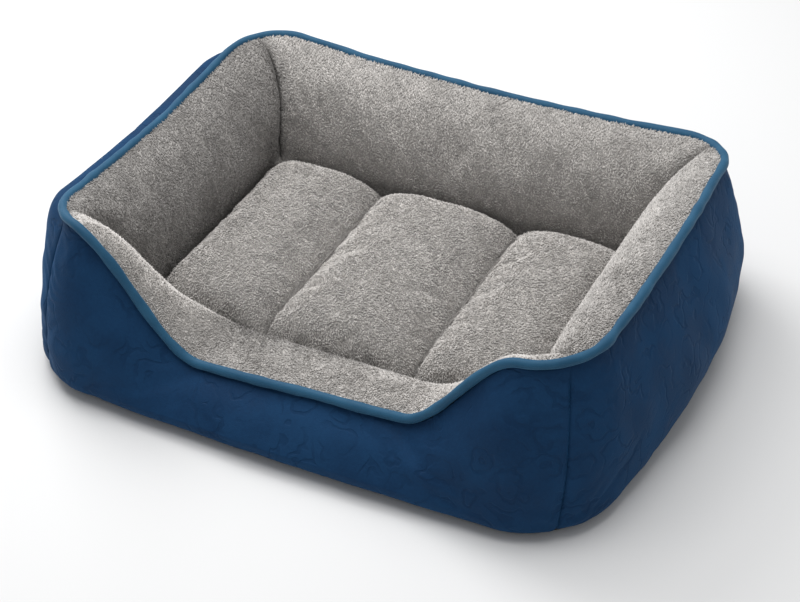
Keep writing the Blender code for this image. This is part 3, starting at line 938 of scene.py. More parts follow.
@dataclass
class SeatCushion:
    """The loose cushion: three channels sewn front to back, plush on top and plain cloth under."""

    half_length: float = 0.2065
    half_depth: float = 0.1345
    corner_radius: float = 0.026
    channel_seam: float = 0.079
    seam_top: float = 0.050
    crown: float = 0.0775
    edge: float = 0.030
    floor: float = 0.0052
    seam_thickness: float = 0.0085
    bow_power: float = 2.6
    round_power: float = 0.62
    edge_bow_power: float = 4.5
    edge_round_power: float = 0.46
    closing_power: float = 8.0
    crowding: float = 0.8
    seam_play: float = 0.0005
    top_thickness: float = 0.0024
    under_thickness: float = 0.0012
    channel_steps: tuple[int, int, int] = (22, 27, 22)
    depth_steps: int = 46
    refined: int = 3
    # Painted light: the cushion's whole pile is painted paler for its lit top. Painted shade: darker near the
    # channel seams and where the top falls to the edge seam, over these widths.
    tone: float = 0.08
    fold_painted_shade: float = 0.62
    fold_painted_shade_width: float = 0.030
    edge_painted_shade_width: float = 0.008
    seam_height: float = 0.5
    seam_share: float = 0.12
    comb: tuple[float, float, float] = (0.55, -0.85, 0.0)
    stuffing: Stuffing = Stuffing(cap=0.0050, spare=0.02)
    pile: Pile = Pile()
    top: np.ndarray | None = None
    under: np.ndarray | None = None

    def plan(self, x: np.ndarray, row: np.ndarray) -> np.ndarray:
        """Depth coordinate of a row at x: the outline is a rounded rectangle."""
        past = np.clip(np.abs(x) - (self.half_length - self.corner_radius), 0.0, self.corner_radius)
        return (self.half_depth - self.corner_radius + np.sqrt(self.corner_radius ** 2 - past ** 2)) * row

    def faces(self, factor: int = 1) -> tuple[np.ndarray, np.ndarray]:
        """Top and under face before stuffing.

        Across a channel the cloth bows as a power curve between its two seams, fuller towards the cushion's
        left and right edges. Towards the front and the back it closes in to the edge seam as a flattened
        ellipse. Rows and columns stand closer near the seams, by a sine.

        Args:
            factor: how many steps replace each coarse one.

        Returns:
            The grids of the top and the under face, rows to the back and columns to the right.
        """
        limits = (-self.half_length, -self.channel_seam, self.channel_seam, self.half_length)
        seams = (self.edge, self.seam_top, self.seam_top, self.edge)
        crowd = math.pi / 2.0 * self.crowding
        row = np.sin(refine_straight(np.linspace(-1.0, 1.0, self.depth_steps + 1), factor) * crowd)
        row = (row / row[-1])[:, None]
        close = np.sqrt(np.clip(1.0 - np.abs(row) ** self.closing_power, 0.0, 1.0))
        tops, unders = [], []
        for channel, steps in enumerate(self.channel_steps):
            share = refine_straight(np.linspace(-1.0, 1.0, steps + 1), factor)[int(channel > 0):]
            station = np.sin(share * crowd) / math.sin(crowd)
            outer_half = (channel - 1) * station > 0.0
            power = np.where(outer_half, self.edge_bow_power, self.bow_power)
            rounding = np.where(outer_half, self.edge_round_power, self.round_power)
            bow = (1.0 - np.abs(station) ** power) ** rounding
            left, right = limits[channel], limits[channel + 1]
            x = (left + right) / 2.0 + station * (right - left) / 2.0
            x = np.broadcast_to(x, (len(row), len(station)))
            seam = seams[channel] + (seams[channel + 1] - seams[channel]) * (station + 1.0) / 2.0
            high = self.edge + (seam + (self.crown - seam) * bow - self.edge) * close
            seam = np.maximum(seam - self.seam_thickness, self.edge - self.seam_play)
            low = self.edge + (seam + (self.floor - seam) * bow ** 0.5 - self.edge) * close
            y = self.plan(x, row)
            tops.append(np.stack([x, y, high], axis=2))
            unders.append(np.stack([x, y, low], axis=2))
        return np.concatenate(tops, axis=1), np.concatenate(unders, axis=1)

    def stuff(self) -> None:
        """Blow up the cushion with its channel and edge seams held, and keep its refined faces."""
        top, under = self.faces()
        rows, columns = top.shape[:2]
        points = np.concatenate([top.reshape(-1, 3), under.reshape(-1, 3)])
        number = np.arange(rows * columns).reshape(rows, columns)
        edge = np.ones((rows, columns), bool)
        edge[1:-1, 1:-1] = False
        below = np.where(edge, number, number + rows * columns).ravel()
        quads = grid_quads(rows, columns)
        faces = np.concatenate([quads[:, ::-1], below[quads]])
        held = edge.copy()
        held[:, [self.channel_steps[0], self.channel_steps[0] + self.channel_steps[1]]] = True
        used = np.unique(faces)
        place = np.full(len(points), -1)
        place[used] = np.arange(used.size)
        shift = np.zeros_like(points)
        shift[used] = self.stuffing.swell(points[used], place[faces], np.tile(held.ravel(), 2)[used])
        shift = shift.reshape(2, rows, columns, 3)
        high, low = self.faces(self.refined)
        self.top = high + refine(refine(shift[0], self.refined, 0), self.refined, 1)
        self.under = low + refine(refine(shift[1], self.refined, 0), self.refined, 1)
        self.under[:, :, 2] = np.maximum(self.under[:, :, 2], self.floor - 0.0002)
        log.info("seat cushion: %d points simulated", used.size)

    def dress(self, plush: bpy.types.Material, pile: bpy.types.Material, plain: bpy.types.Material) -> None:
        """Make the top cloth, its pile and the under cloth as pieces.

        Args:
            plush: finish of the cloth under the pile.
            pile: finish of the pile.
            plain: finish of the under cloth.
        """
        under_pile = self.top[::-self.refined, ::self.refined]
        top = cloth_piece("cushion_plush", under_pile, self.top_thickness, plush, "cushion")
        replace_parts(top, "cushion_top", "cushion_fill_left", "cushion_fill_centre", "cushion_fill_right")
        plain_face = self.under[::self.refined, ::self.refined]
        under = cloth_piece("cushion_under_cloth", plain_face, self.under_thickness, plain, "cushion")
        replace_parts(under, "cushion_bottom")
        starts = np.cumsum((0,) + self.channel_steps) * self.refined
        for number, name in enumerate(("left", "centre", "right")):
            span = slice(starts[number], starts[number + 1] + 1)
            grid = self.top[::-1, span]
            count = grid.shape[1]
            across = np.abs(np.linspace(-1.0, 1.0, count))[None, :]
            grown = smooth_step((1.0 - across) / self.seam_share)
            height = np.broadcast_to(self.seam_height + (1.0 - self.seam_height) * grown, grid.shape[:2])
            # Painted shade: darker near the channel seams and low towards the edge seam, on top of the paler
            # painted light of the whole top.
            above = grid[:, :, 2] - self.edge
            deep = np.exp(-(1.0 - across) / self.fold_painted_shade_width) + np.exp(-above / self.edge_painted_shade_width)
            tone = self.tone - self.fold_painted_shade * np.clip(deep, 0.0, 1.0)
            comb = np.broadcast_to(np.array(self.comb), grid.shape)
            self.pile.grow(f"pile_cushion_{name}", grid, comb, height, tone, 200 + number, pile, "cushion")


# Base and floor of the well


def cloth_edge(outline: Outline, inset: float, straights: tuple[int, ...], factor: int = 1) -> np.ndarray:
    """Closed edge of a flat cloth in plan, moved in from an outline.

    Args:
        outline: the outline it follows.
        inset: how far inside it the edge lies.
        straights: steps along each side's straight stretch.
        factor: how many steps replace each coarse one.

    Returns:
        Plan points, one after another round the edge.
    """
    points = []
    for side, straight in zip(Side, straights):
        plan, normal = outline.points(side, Columns.of(6, straight, factor))
        points.append((plan - normal * inset)[:-1])
    return np.concatenate(points)


@dataclass
class BaseCloth:
    """The bottom cloth, with rows of rubber dots that keep the bed from sliding."""

    belt: Outline
    inset: float = 0.0153
    thickness: float = 0.0022
    height: float = 0.0030
    rings: int = 40
    straights: tuple[int, ...] = (24, 18, 24, 18)
    slack: float = 0.00025
    dot_radius: float = 0.0021
    dot_height: float = 0.0008
    dot_spacing: float = 0.0165
    dot_sides: int = 8
    dot_sunk: float = 0.0003
    dot_lip: float = 0.0002
    edge_clearance: float = 0.012

    def build(self, cloth: bpy.types.Material, rubber: bpy.types.Material) -> None:
        """Make the cloth and its dots.

        Args:
            cloth: finish of the cloth.
            rubber: finish of the dots.
        """
        edge = cloth_edge(self.belt, self.inset, self.straights, 2)
        share = np.linspace(0.002, 1.0, self.rings)[:, None, None]
        plan = edge[None] * share
        top = np.concatenate([plan, np.full(plan.shape[:2] + (1,), self.height)], axis=2)
        slack = self.slack * Ripple(41, 0.05).at(top)
        bottom = top.copy()
        bottom[:, :, 2] = self.height - self.thickness + slack * (1.0 - share[:, :, 0])
        shell = np.concatenate([bottom, top[::-1]])
        rows, columns = shell.shape[:2]
        middle = np.array([[0.0, 0.0, self.height], [0.0, 0.0, self.height - self.thickness]])
        quads = grid_quads(rows, columns, False, True)[:, ::-1]
        mesh = bpy.data.meshes.new("base_fabric")
        ring = np.arange(columns)
        beside = (ring + 1) % columns
        last = (rows - 1) * columns
        cap_top = np.column_stack([last + ring, last + beside, np.full(columns, rows * columns)])
        cap_low = np.column_stack([beside, ring, np.full(columns, rows * columns + 1)])
        points = np.concatenate([shell.reshape(-1, 3), middle])
        mesh.from_pydata(points.tolist(), [], quads.tolist() + cap_top.tolist() + cap_low.tolist())
        mesh.update()
        piece = new_piece("base_fabric", mesh, cloth, "bed")
        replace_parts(piece, "base_cloth")
        self.dots(edge, rubber)

    def dots(self, edge: np.ndarray, rubber: bpy.types.Material) -> None:
        """Set low round dots in staggered rows, clear of the cloth's edge.

        A dot is three rings and a tip on a flattened dome, closed by a flat fan under the cloth.

        Args:
            edge: the cloth's edge in plan.
            rubber: finish of the dots.
        """
        half = np.ptp(edge, axis=0) / 2.0
        step = np.array([self.dot_spacing, self.dot_spacing * math.sqrt(3.0) / 2.0])
        count = (half // step).astype(int)
        lines, places = (np.arange(-number, number + 1) for number in count[::-1])
        j, i = np.meshgrid(lines, places, indexing="ij")
        centre = np.stack([(i + 0.5 * (j % 2)) * step[0], j * step[1]], axis=-1).reshape(-1, 2)
        angle = np.arctan2(centre[:, 1], centre[:, 0])
        around = np.arctan2(edge[:, 1], edge[:, 0])
        order = np.argsort(around)
        reach = np.interp(angle, around[order], np.linalg.norm(edge, axis=1)[order], period=2.0 * math.pi)
        centre = centre[np.linalg.norm(centre, axis=1) < reach - self.edge_clearance]
        turn = np.linspace(0.0, 2.0 * math.pi, self.dot_sides, endpoint=False)
        circle = np.stack([np.cos(turn), np.sin(turn)], axis=1)
        base = self.height - self.thickness + self.dot_sunk
        shares = np.array([1.0, 0.93, 0.62])
        depth = base - self.dot_height * np.array([0.0, 0.62, 0.94]) - self.dot_lip
        rings = [np.column_stack([circle * self.dot_radius * share, np.full(self.dot_sides, level)])
                 for share, level in zip(shares, depth)]
        tip = np.array([[0.0, 0.0, base - self.dot_height - self.dot_lip], [0.0, 0.0, base]])
        dot = np.concatenate(rings + [tip])
        ring = np.arange(self.dot_sides)
        beside = (ring + 1) % self.dot_sides
        faces = []
        for level in range(2):
            low, high = level * self.dot_sides, (level + 1) * self.dot_sides
            faces += [np.column_stack([low + ring, high + ring, high + beside]),
                      np.column_stack([low + ring, high + beside, low + beside])]
        faces.append(np.column_stack([2 * self.dot_sides + ring, np.full(ring.size, 3 * self.dot_sides),
                                      2 * self.dot_sides + beside]))
        faces.append(np.column_stack([beside, np.full(ring.size, 3 * self.dot_sides + 1), ring]))
        faces = np.concatenate(faces)
        place = np.concatenate([centre, np.zeros((len(centre), 1))], axis=1)
        points = (place[:, None] + dot[None]).reshape(-1, 3)
        shift = (np.arange(len(centre)) * len(dot))[:, None, None]
        mesh = new_mesh("grip_dots", points, (shift + faces[None]).reshape(-1, 3))
        new_piece("grip_dots", mesh, rubber, "bed")


@dataclass
class WellFloor:
    """The plain cloth that closes the well under the seat cushion, pulled flat by its sewn edge."""

    crease: Outline
    inset: float = 0.001
    height: float = 0.0045
    thickness: float = 0.0010
    rings: int = 46
    straights: tuple[int, ...] = (40, 26, 40, 26)
    slack: float = 0.0003

    def build(self, cloth: bpy.types.Material) -> None:
        """Make the cloth: rings of points from its middle to its edge, with a slight slack.

        Args:
            cloth: its finish.
        """
        edge = cloth_edge(self.crease, self.inset, self.straights)
        share = np.linspace(0.002, 1.0, self.rings)[:, None, None]
        plan = edge[None] * share
        grid = np.concatenate([plan, np.full(plan.shape[:2] + (1,), self.height)], axis=2)
        wave = self.slack * Ripple(43, 0.07).at(grid) * np.sin(math.pi * share[:, :, 0])
        grid[:, :, 2] = self.height + np.minimum(wave, 0.0)
        rows, columns = grid.shape[:2]
        ring = np.arange(columns)
        cap = np.column_stack([ring, (ring + 1) % columns, np.full(columns, rows * columns)])
        quads = grid_quads(rows, columns, False, True)
        mesh = bpy.data.meshes.new("well_floor")
        points = np.concatenate([grid.reshape(-1, 3), [[0.0, 0.0, self.height]]])
        mesh.from_pydata(points.tolist(), [], quads.tolist() + cap.tolist())
        mesh.polygons.foreach_set("use_smooth", np.ones(len(mesh.polygons), bool))
        mesh.update()
        piece = new_piece("well_floor", mesh, cloth, "bed")
        thicken(piece, self.thickness)
        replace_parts(piece, "floor_lining")


# Finishes


Colour = tuple[float, float, float]


class Weave(Enum):
    """The plain cloths of the bed: threads across one metre, and how far the bump stands."""

    GRIP = (900.0, 0.00025)
    LINING = (1100.0, 0.00016)
    UNDER = (1300.0, 0.00014)


@dataclass
class Nodes:
    """Short hand for adding and joining nodes in one tree."""

    tree: bpy.types.NodeTree

    def fill(self, node: bpy.types.Node, values: dict[str | int, object]) -> bpy.types.Node:
        """Set a node's inputs, by name or number, to numbers, colours or other nodes' outputs."""
        for key, value in values.items():
            if isinstance(value, bpy.types.NodeSocket):
                self.tree.links.new(value, node.inputs[key])
            else:
                node.inputs[key].default_value = value
        return node

    def add(self, kind: str, values: dict[str | int, object] | None = None,
            **settings: object) -> bpy.types.Node:
        """Add a node.

        Args:
            kind: the node's type name without its ShaderNode prefix.
            values: numbers, colours or output sockets for its inputs, by name or number.
            settings: the node's own options.

        Returns:
            The new node.
        """
        node = self.tree.nodes.new(f"ShaderNode{kind}")
        for key, value in settings.items():
            setattr(node, key, value)
        return self.fill(node, values or {})

    def maths(self, operation: str, first: object, second: object = 0.0) -> bpy.types.NodeSocket:
        """Add one sum and return its result."""
        return self.add("Math", {0: first, 1: second}, operation=operation).outputs[0]

    def fit(self, value: object, low: float, high: float, to_low: float,
            to_high: float) -> bpy.types.NodeSocket:
        """Map a value from one range smoothly onto another and return the result."""
        inputs = {"Value": value, "From Min": low, "From Max": high, "To Min": to_low, "To Max": to_high}
        return self.add("MapRange", inputs, interpolation_type="SMOOTHSTEP").outputs["Result"]

    def blend(self, share: object, first: object, second: object) -> bpy.types.NodeSocket:
        """Mix two colours and return the result."""
        colours = {6: first, 7: second}
        for key, value in colours.items():
            if not isinstance(value, bpy.types.NodeSocket):
                colours[key] = (*value, 1.0)
        return self.add("Mix", {"Factor": share, **colours}, data_type="RGBA").outputs[2]

    def noise(self, place: object, scale: object, detail: float) -> bpy.types.NodeSocket:
        """Add a soft noise at a place and return its value."""
        return self.add("TexNoise", {"Vector": place, "Scale": scale, "Detail": detail}).outputs[0]

    def bump(self, strength: float, distance: float, height: object) -> bpy.types.NodeSocket:
        """Turn a height into a bent normal, with its distance in metres, and return it."""
        return self.add("Bump", {"Strength": strength, "Distance": distance, "Height": height}).outputs[0]

    def group(self, tree: bpy.types.NodeTree, values: dict[str | int, object]) -> bpy.types.Node:
        """Place a shared group and set its inputs."""
        return self.add("Group", values, node_tree=tree)

    def object_place(self) -> bpy.types.NodeSocket:
        """Add the place in the object's own frame and return it."""
        return self.add("TexCoord").outputs["Object"]


def new_group(name: str, inputs: dict[str, str],
              outputs: dict[str, str]) -> tuple[Nodes, bpy.types.Node, bpy.types.Node]:
    """Start a shared group of nodes.

    Args:
        name: the group's name.
        inputs: its inputs, each with the type of its socket.
        outputs: its outputs, each with the type of its socket.

    Returns:
        The wiring helper, the node that holds the inputs, and the node that takes the outputs.
    """
    tree = bpy.data.node_groups.new(name, "ShaderNodeTree")
    for way, sockets in (("INPUT", inputs), ("OUTPUT", outputs)):
        for key, kind in sockets.items():
            tree.interface.new_socket(key, in_out=way, socket_type=f"NodeSocket{kind}")
    return Nodes(tree), tree.nodes.new("NodeGroupInput"), tree.nodes.new("NodeGroupOutput")


@dataclass
class SharedEffects:
    """Groups that more than one finish uses."""

    blotch: bpy.types.NodeTree = field(init=False)
    weave: bpy.types.NodeTree = field(init=False)
    emboss: bpy.types.NodeTree = field(init=False)

    def __post_init__(self) -> None:
        """Build each group once."""
        self.blotch = self.make_blotch()
        self.weave = self.make_weave()
        self.emboss = self.make_emboss()

    def make_blotch(self) -> bpy.types.NodeTree:
        """Two colours that drift into each other over a soft noise, with a fine grain on top."""
        nodes, given, out = new_group("soft_blotch", {"Vector": "Vector", "Scale": "Float", "Grain": "Float",
                                                      "First": "Color", "Second": "Color"},
                                      {"Color": "Color", "Value": "Float"})
        broad = nodes.add("TexNoise", {"Vector": given.outputs["Vector"], "Scale": given.outputs["Scale"],
                                       "Detail": 3.0, "Roughness": 0.55})
        fine = nodes.add("TexNoise", {"Vector": given.outputs["Vector"], "Scale": given.outputs["Grain"],
                                      "Detail": 2.0, "Roughness": 0.6})
        drift = nodes.fit(broad.outputs[0], 0.3, 0.7, 0.0, 1.0)
        grain = nodes.fit(fine.outputs[0], 0.25, 0.75, -0.22, 0.22)
        share = nodes.add("Math", {0: drift, 1: grain}, operation="ADD", use_clamp=True).outputs[0]
        colour = nodes.blend(share, given.outputs["First"], given.outputs["Second"])
        nodes.fill(out, {"Color": colour, "Value": share})
        return nodes.tree

    def tone(self, nodes: Nodes, scale: float, grain: float, first: Colour, second: Colour) -> bpy.types.Node:
        """Place the soft blotch in a finish.

        Args:
            nodes: the finish's nodes.
            scale: of the drift, in waves across a metre.
            grain: of the fine grain, in the same measure.
            first: one colour.
            second: the other.

        Returns:
            The group's node, with outputs Color and Value.
        """
        return nodes.group(self.blotch, {"Vector": nodes.object_place(), "Scale": scale, "Grain": grain,
                                         "First": (*first, 1.0), "Second": (*second, 1.0)})

    def make_weave(self) -> bpy.types.NodeTree:
        """Threads over and under: the height of two crossed waves, each where the other lies low."""
        nodes, given, out = new_group("plain_weave", {"Vector": "Vector", "Threads": "Float"},
                                      {"Height": "Float"})
        parts = nodes.add("SeparateXYZ", {0: given.outputs["Vector"]})
        turns = nodes.maths("MULTIPLY", given.outputs["Threads"], math.pi)
        across = nodes.maths("SINE", nodes.maths("MULTIPLY", parts.outputs[0], turns))
        along = nodes.maths("SINE", nodes.maths("MULTIPLY", parts.outputs[1], turns))
        warp = nodes.maths("ABSOLUTE", across)
        weft = nodes.maths("ABSOLUTE", along)
        over = nodes.maths("GREATER_THAN", nodes.maths("MULTIPLY", across, along), 0.0)
        height = nodes.add("Mix", {"Factor": over, 2: warp, 3: weft}, data_type="FLOAT").outputs[0]
        nodes.fill(out, {"Height": height})
        return nodes.tree

    def make_emboss(self) -> bpy.types.NodeTree:
        """Curling lines pressed into velvet: rings round scattered middles, bent by a noise, in patches."""
        inputs = {"Vector": "Vector", "Cells": "Float", "Lines": "Float"}
        nodes, given, out = new_group("curled_emboss", inputs, {"Height": "Float", "Mask": "Float"})
        bend = nodes.add("TexNoise", {"Vector": given.outputs["Vector"], "Scale": 34.0, "Detail": 2.0})
        offset = nodes.add("VectorMath", {0: bend.outputs[1], 1: (-0.5, -0.5, -0.5)}, operation="ADD")
        offset = nodes.add("VectorMath", {0: offset.outputs[0], "Scale": 0.046}, operation="SCALE")
        bent = nodes.add("VectorMath", {0: given.outputs["Vector"], 1: offset.outputs[0]}, operation="ADD")
        cells = nodes.add("TexVoronoi", {"Vector": bent.outputs[0], "Scale": given.outputs["Cells"]})
        turns = nodes.maths("MULTIPLY", cells.outputs["Distance"], given.outputs["Lines"])
        rings = nodes.maths("SINE", turns)
        line = nodes.fit(rings, 0.35, 1.0, 0.0, 1.0)
        patch = nodes.fit(nodes.noise(given.outputs["Vector"], 27.0, 1.0), 0.40, 0.60, 0.15, 1.0)
        mask = nodes.maths("MULTIPLY", line, patch)
        nodes.fill(out, {"Height": nodes.maths("MULTIPLY", mask, -1.0), "Mask": mask})
        return nodes.tree


def new_finish(name: str) -> tuple[bpy.types.Material, Nodes, bpy.types.Node]:
    """Start a material.

    Args:
        name: the finish's name.

    Returns:
        The material, the wiring helper of its tree, and its Principled shader.
    """
    material = bpy.data.materials.new(name)
    material.use_nodes = True
    nodes = Nodes(material.node_tree)
    return material, nodes, material.node_tree.nodes["Principled BSDF"]


def set_sheen(shader: bpy.types.Node, weight: float, roughness: float, tint: Colour) -> None:
    """Give a shader the soft edge light of short fibres."""
    shader.inputs["Sheen Weight"].default_value = weight
    shader.inputs["Sheen Roughness"].default_value = roughness
    shader.inputs["Sheen Tint"].default_value = (*tint, 1.0)


@dataclass(frozen=True)
class Velvet:
    """Short-napped velvet with a pressed pattern: the nap drifts between two blues, the lines lie darker."""

    deep: Colour = (0.0060, 0.0290, 0.0780)
    bloom: Colour = (0.0098, 0.0430, 0.1080)
    pressed: Colour = (0.0046, 0.0215, 0.0600)
    curl_cells: float = 24.0
    curl_lines: float = 20.0
    curl_share: float = 0.34
    fuzz_share: float = 0.50

    def make(self, shared: SharedEffects) -> bpy.types.Material:
        """Build the material."""
        material, nodes, shader = new_finish("embossed_velvet")
        place = nodes.object_place()
        nap = shared.tone(nodes, 16.0, 420.0, self.deep, self.bloom)
        press = nodes.group(shared.emboss, {"Vector": place, "Cells": self.curl_cells,
                                            "Lines": self.curl_lines})
        share = nodes.maths("MULTIPLY", press.outputs["Mask"], self.curl_share)
        height = nodes.add("Math", {0: nodes.noise(place, 900.0, 2.0), 1: self.fuzz_share,
                                    2: press.outputs["Height"]}, operation="MULTIPLY_ADD").outputs[0]
        nodes.fill(shader, {"Base Color": nodes.blend(share, nap.outputs["Color"], self.pressed),
                            "Roughness": nodes.fit(nap.outputs["Value"], 0.0, 1.0, 0.62, 0.78),
                            "Normal": nodes.bump(0.75, 0.0008, height),
                            "Specular IOR Level": 0.08})
        set_sheen(shader, 0.14, 0.45, (0.06, 0.34, 0.80))
        return material


@dataclass(frozen=True)
class PlushCloth:
    """The knitted cloth that the pile stands on, coloured darker than the pile as painted shade between the
    tufts.
    """

    # Painted shade: both colours stay darker than the pile's, for the shade between the tufts.
    shade: Colour = (0.330, 0.316, 0.302)
    light: Colour = (0.430, 0.412, 0.395)

    def make(self, shared: SharedEffects) -> bpy.types.Material:
        """Build the material."""
        material, nodes, shader = new_finish("plush_ground")
        place = nodes.object_place()
        tone = shared.tone(nodes, 60.0, 700.0, self.shade, self.light)
        nodes.fill(shader, {"Base Color": tone.outputs["Color"],
                            "Roughness": nodes.fit(tone.outputs["Value"], 0.0, 1.0, 0.88, 0.98),
                            "Normal": nodes.bump(0.8, 0.0008, nodes.noise(place, 650.0, 2.0)),
                            "Specular IOR Level": 0.1})
        return material


@dataclass(frozen=True)
class PileFibre:
    """The tufts: painted darker at the root as painted shade deep in the pile and pale at the tip, each
    tuft's colour scaled by its own shade, which carries random differences and painted light and shade.
    """

    root: Colour = (0.420, 0.402, 0.385)
    middle: Colour = (0.600, 0.574, 0.552)
    tip: Colour = (0.690, 0.660, 0.634)

    def make(self) -> bpy.types.Material:
        """Build the material: the map's height is the place along a tuft, its width the tuft's shade."""
        material, nodes, shader = new_finish("plush_pile")
        place = nodes.add("UVMap", uv_map="OFBake").outputs[0]
        parts = nodes.add("SeparateXYZ", {0: place})
        # Painted shade: the root colour is darker, standing in for the shade deep among the tufts.
        lower = nodes.blend(nodes.fit(parts.outputs[1], 0.0, 0.42, 0.0, 1.0), self.root, self.middle)
        whole = nodes.blend(nodes.fit(parts.outputs[1], 0.40, 1.0, 0.0, 1.0), lower, self.tip)
        # Each tuft's shade scales its colour: random differences plus the painted light and shade grown into
        # the map.
        shade = nodes.fit(parts.outputs[0], 0.0, 1.0, 0.34, 1.44)
        colour = nodes.add("VectorMath", {0: whole, "Scale": shade}, operation="SCALE").outputs[0]
        nodes.fill(shader, {"Base Color": colour, "Specular IOR Level": 0.15,
                            "Roughness": nodes.fit(parts.outputs[1], 0.0, 1.0, 0.95, 0.80)})
        set_sheen(shader, 0.20, 0.5, (1.0, 0.97, 0.93))
        return material


@dataclass(frozen=True)
class PipingCloth:
    """Bias-cut strip: fine slanting ribs of a twill over a soft drift of two blues."""

    dark: Colour = (0.011, 0.070, 0.140)
    light: Colour = (0.020, 0.100, 0.185)
    ribs: float = 5200.0

    def make(self, shared: SharedEffects) -> bpy.types.Material:
        """Build the material from the strip's own map, in metres along and around it."""
        material, nodes, shader = new_finish("piping_twill")
        lay = nodes.add("UVMap", uv_map="lay").outputs[0]
        tone = shared.tone(nodes, 45.0, 800.0, self.dark, self.light)
        parts = nodes.add("SeparateXYZ", {0: lay})
        slant = nodes.maths("ADD", nodes.maths("MULTIPLY", parts.outputs[0], self.ribs),
                            nodes.maths("MULTIPLY", parts.outputs[1], self.ribs * 0.8))
        rib = nodes.fit(nodes.maths("SINE", slant), -1.0, 1.0, 0.0, 1.0)
        colour = nodes.blend(nodes.maths("MULTIPLY", rib, 0.35), self.dark, tone.outputs["Color"])
        colour = nodes.blend(0.6, colour, tone.outputs["Color"])
        nodes.fill(shader, {"Base Color": colour, "Specular IOR Level": 0.25,
                            "Roughness": nodes.fit(rib, 0.0, 1.0, 0.70, 0.58),
                            "Normal": nodes.bump(0.5, 0.00018, rib)})
        set_sheen(shader, 0.25, 0.4, (0.35, 0.62, 0.90))
        return material


@dataclass(frozen=True)
class PlainCloth:
    """A plain-woven cloth in two close tones."""

    name: str
    first: Colour
    second: Colour
    weave: Weave

    def make(self, shared: SharedEffects) -> bpy.types.Material:
        """Build the material."""
        material, nodes, shader = new_finish(self.name)
        threads, stand = self.weave.value
        place = nodes.object_place()
        tone = shared.tone(nodes, 24.0, 500.0, self.first, self.second)
        cloth = nodes.group(shared.weave, {"Vector": place, "Threads": threads})
        # Painted shade: the low places between the threads take the darker first colour, and the raised
        # threads take the drifting tone.
        raised = nodes.fit(cloth.outputs[0], 0.0, 1.0, 0.0, 0.7)
        nodes.fill(shader, {"Base Color": nodes.blend(raised, self.first, tone.outputs["Color"]),
                            "Roughness": nodes.fit(tone.outputs["Value"], 0.0, 1.0, 0.80, 0.92),
                            "Normal": nodes.bump(0.7, stand, cloth.outputs[0])})
        return material


@dataclass(frozen=True)
class Strand:
    """Twisted thread or loose fibre: slanting plies over a soft drift of two tones."""

    name: str
    first: Colour
    second: Colour
    plies: float
    roughness: float = 0.75

    def make(self, shared: SharedEffects) -> bpy.types.Material:
        """Build the material."""
        material, nodes, shader = new_finish(self.name)
        tone = shared.tone(nodes, 120.0, 900.0, self.first, self.second)
        parts = nodes.add("SeparateXYZ", {0: nodes.object_place()})
        total = nodes.maths("ADD", nodes.maths("ADD", parts.outputs[0], parts.outputs[1]), parts.outputs[2])
        ply = nodes.maths("SINE", nodes.maths("MULTIPLY", total, self.plies))
        nodes.fill(shader, {"Base Color": tone.outputs["Color"], "Roughness": self.roughness,
                            "Normal": nodes.bump(0.6, 0.0002, ply)})
        return material


@dataclass(frozen=True)
class GripRubber:
    """Soft dark rubber with a dull, slightly mottled skin."""

    first: Colour = (0.012, 0.013, 0.015)
    second: Colour = (0.026, 0.027, 0.030)

    def make(self, shared: SharedEffects) -> bpy.types.Material:
        """Build the material."""
        material, nodes, shader = new_finish("grip_rubber")
        tone = shared.tone(nodes, 90.0, 1200.0, self.first, self.second)
        nodes.fill(shader, {"Base Color": tone.outputs["Color"],
                            "Roughness": nodes.fit(tone.outputs["Value"], 0.0, 1.0, 0.45, 0.62)})
        return material


# Camera, light and floor


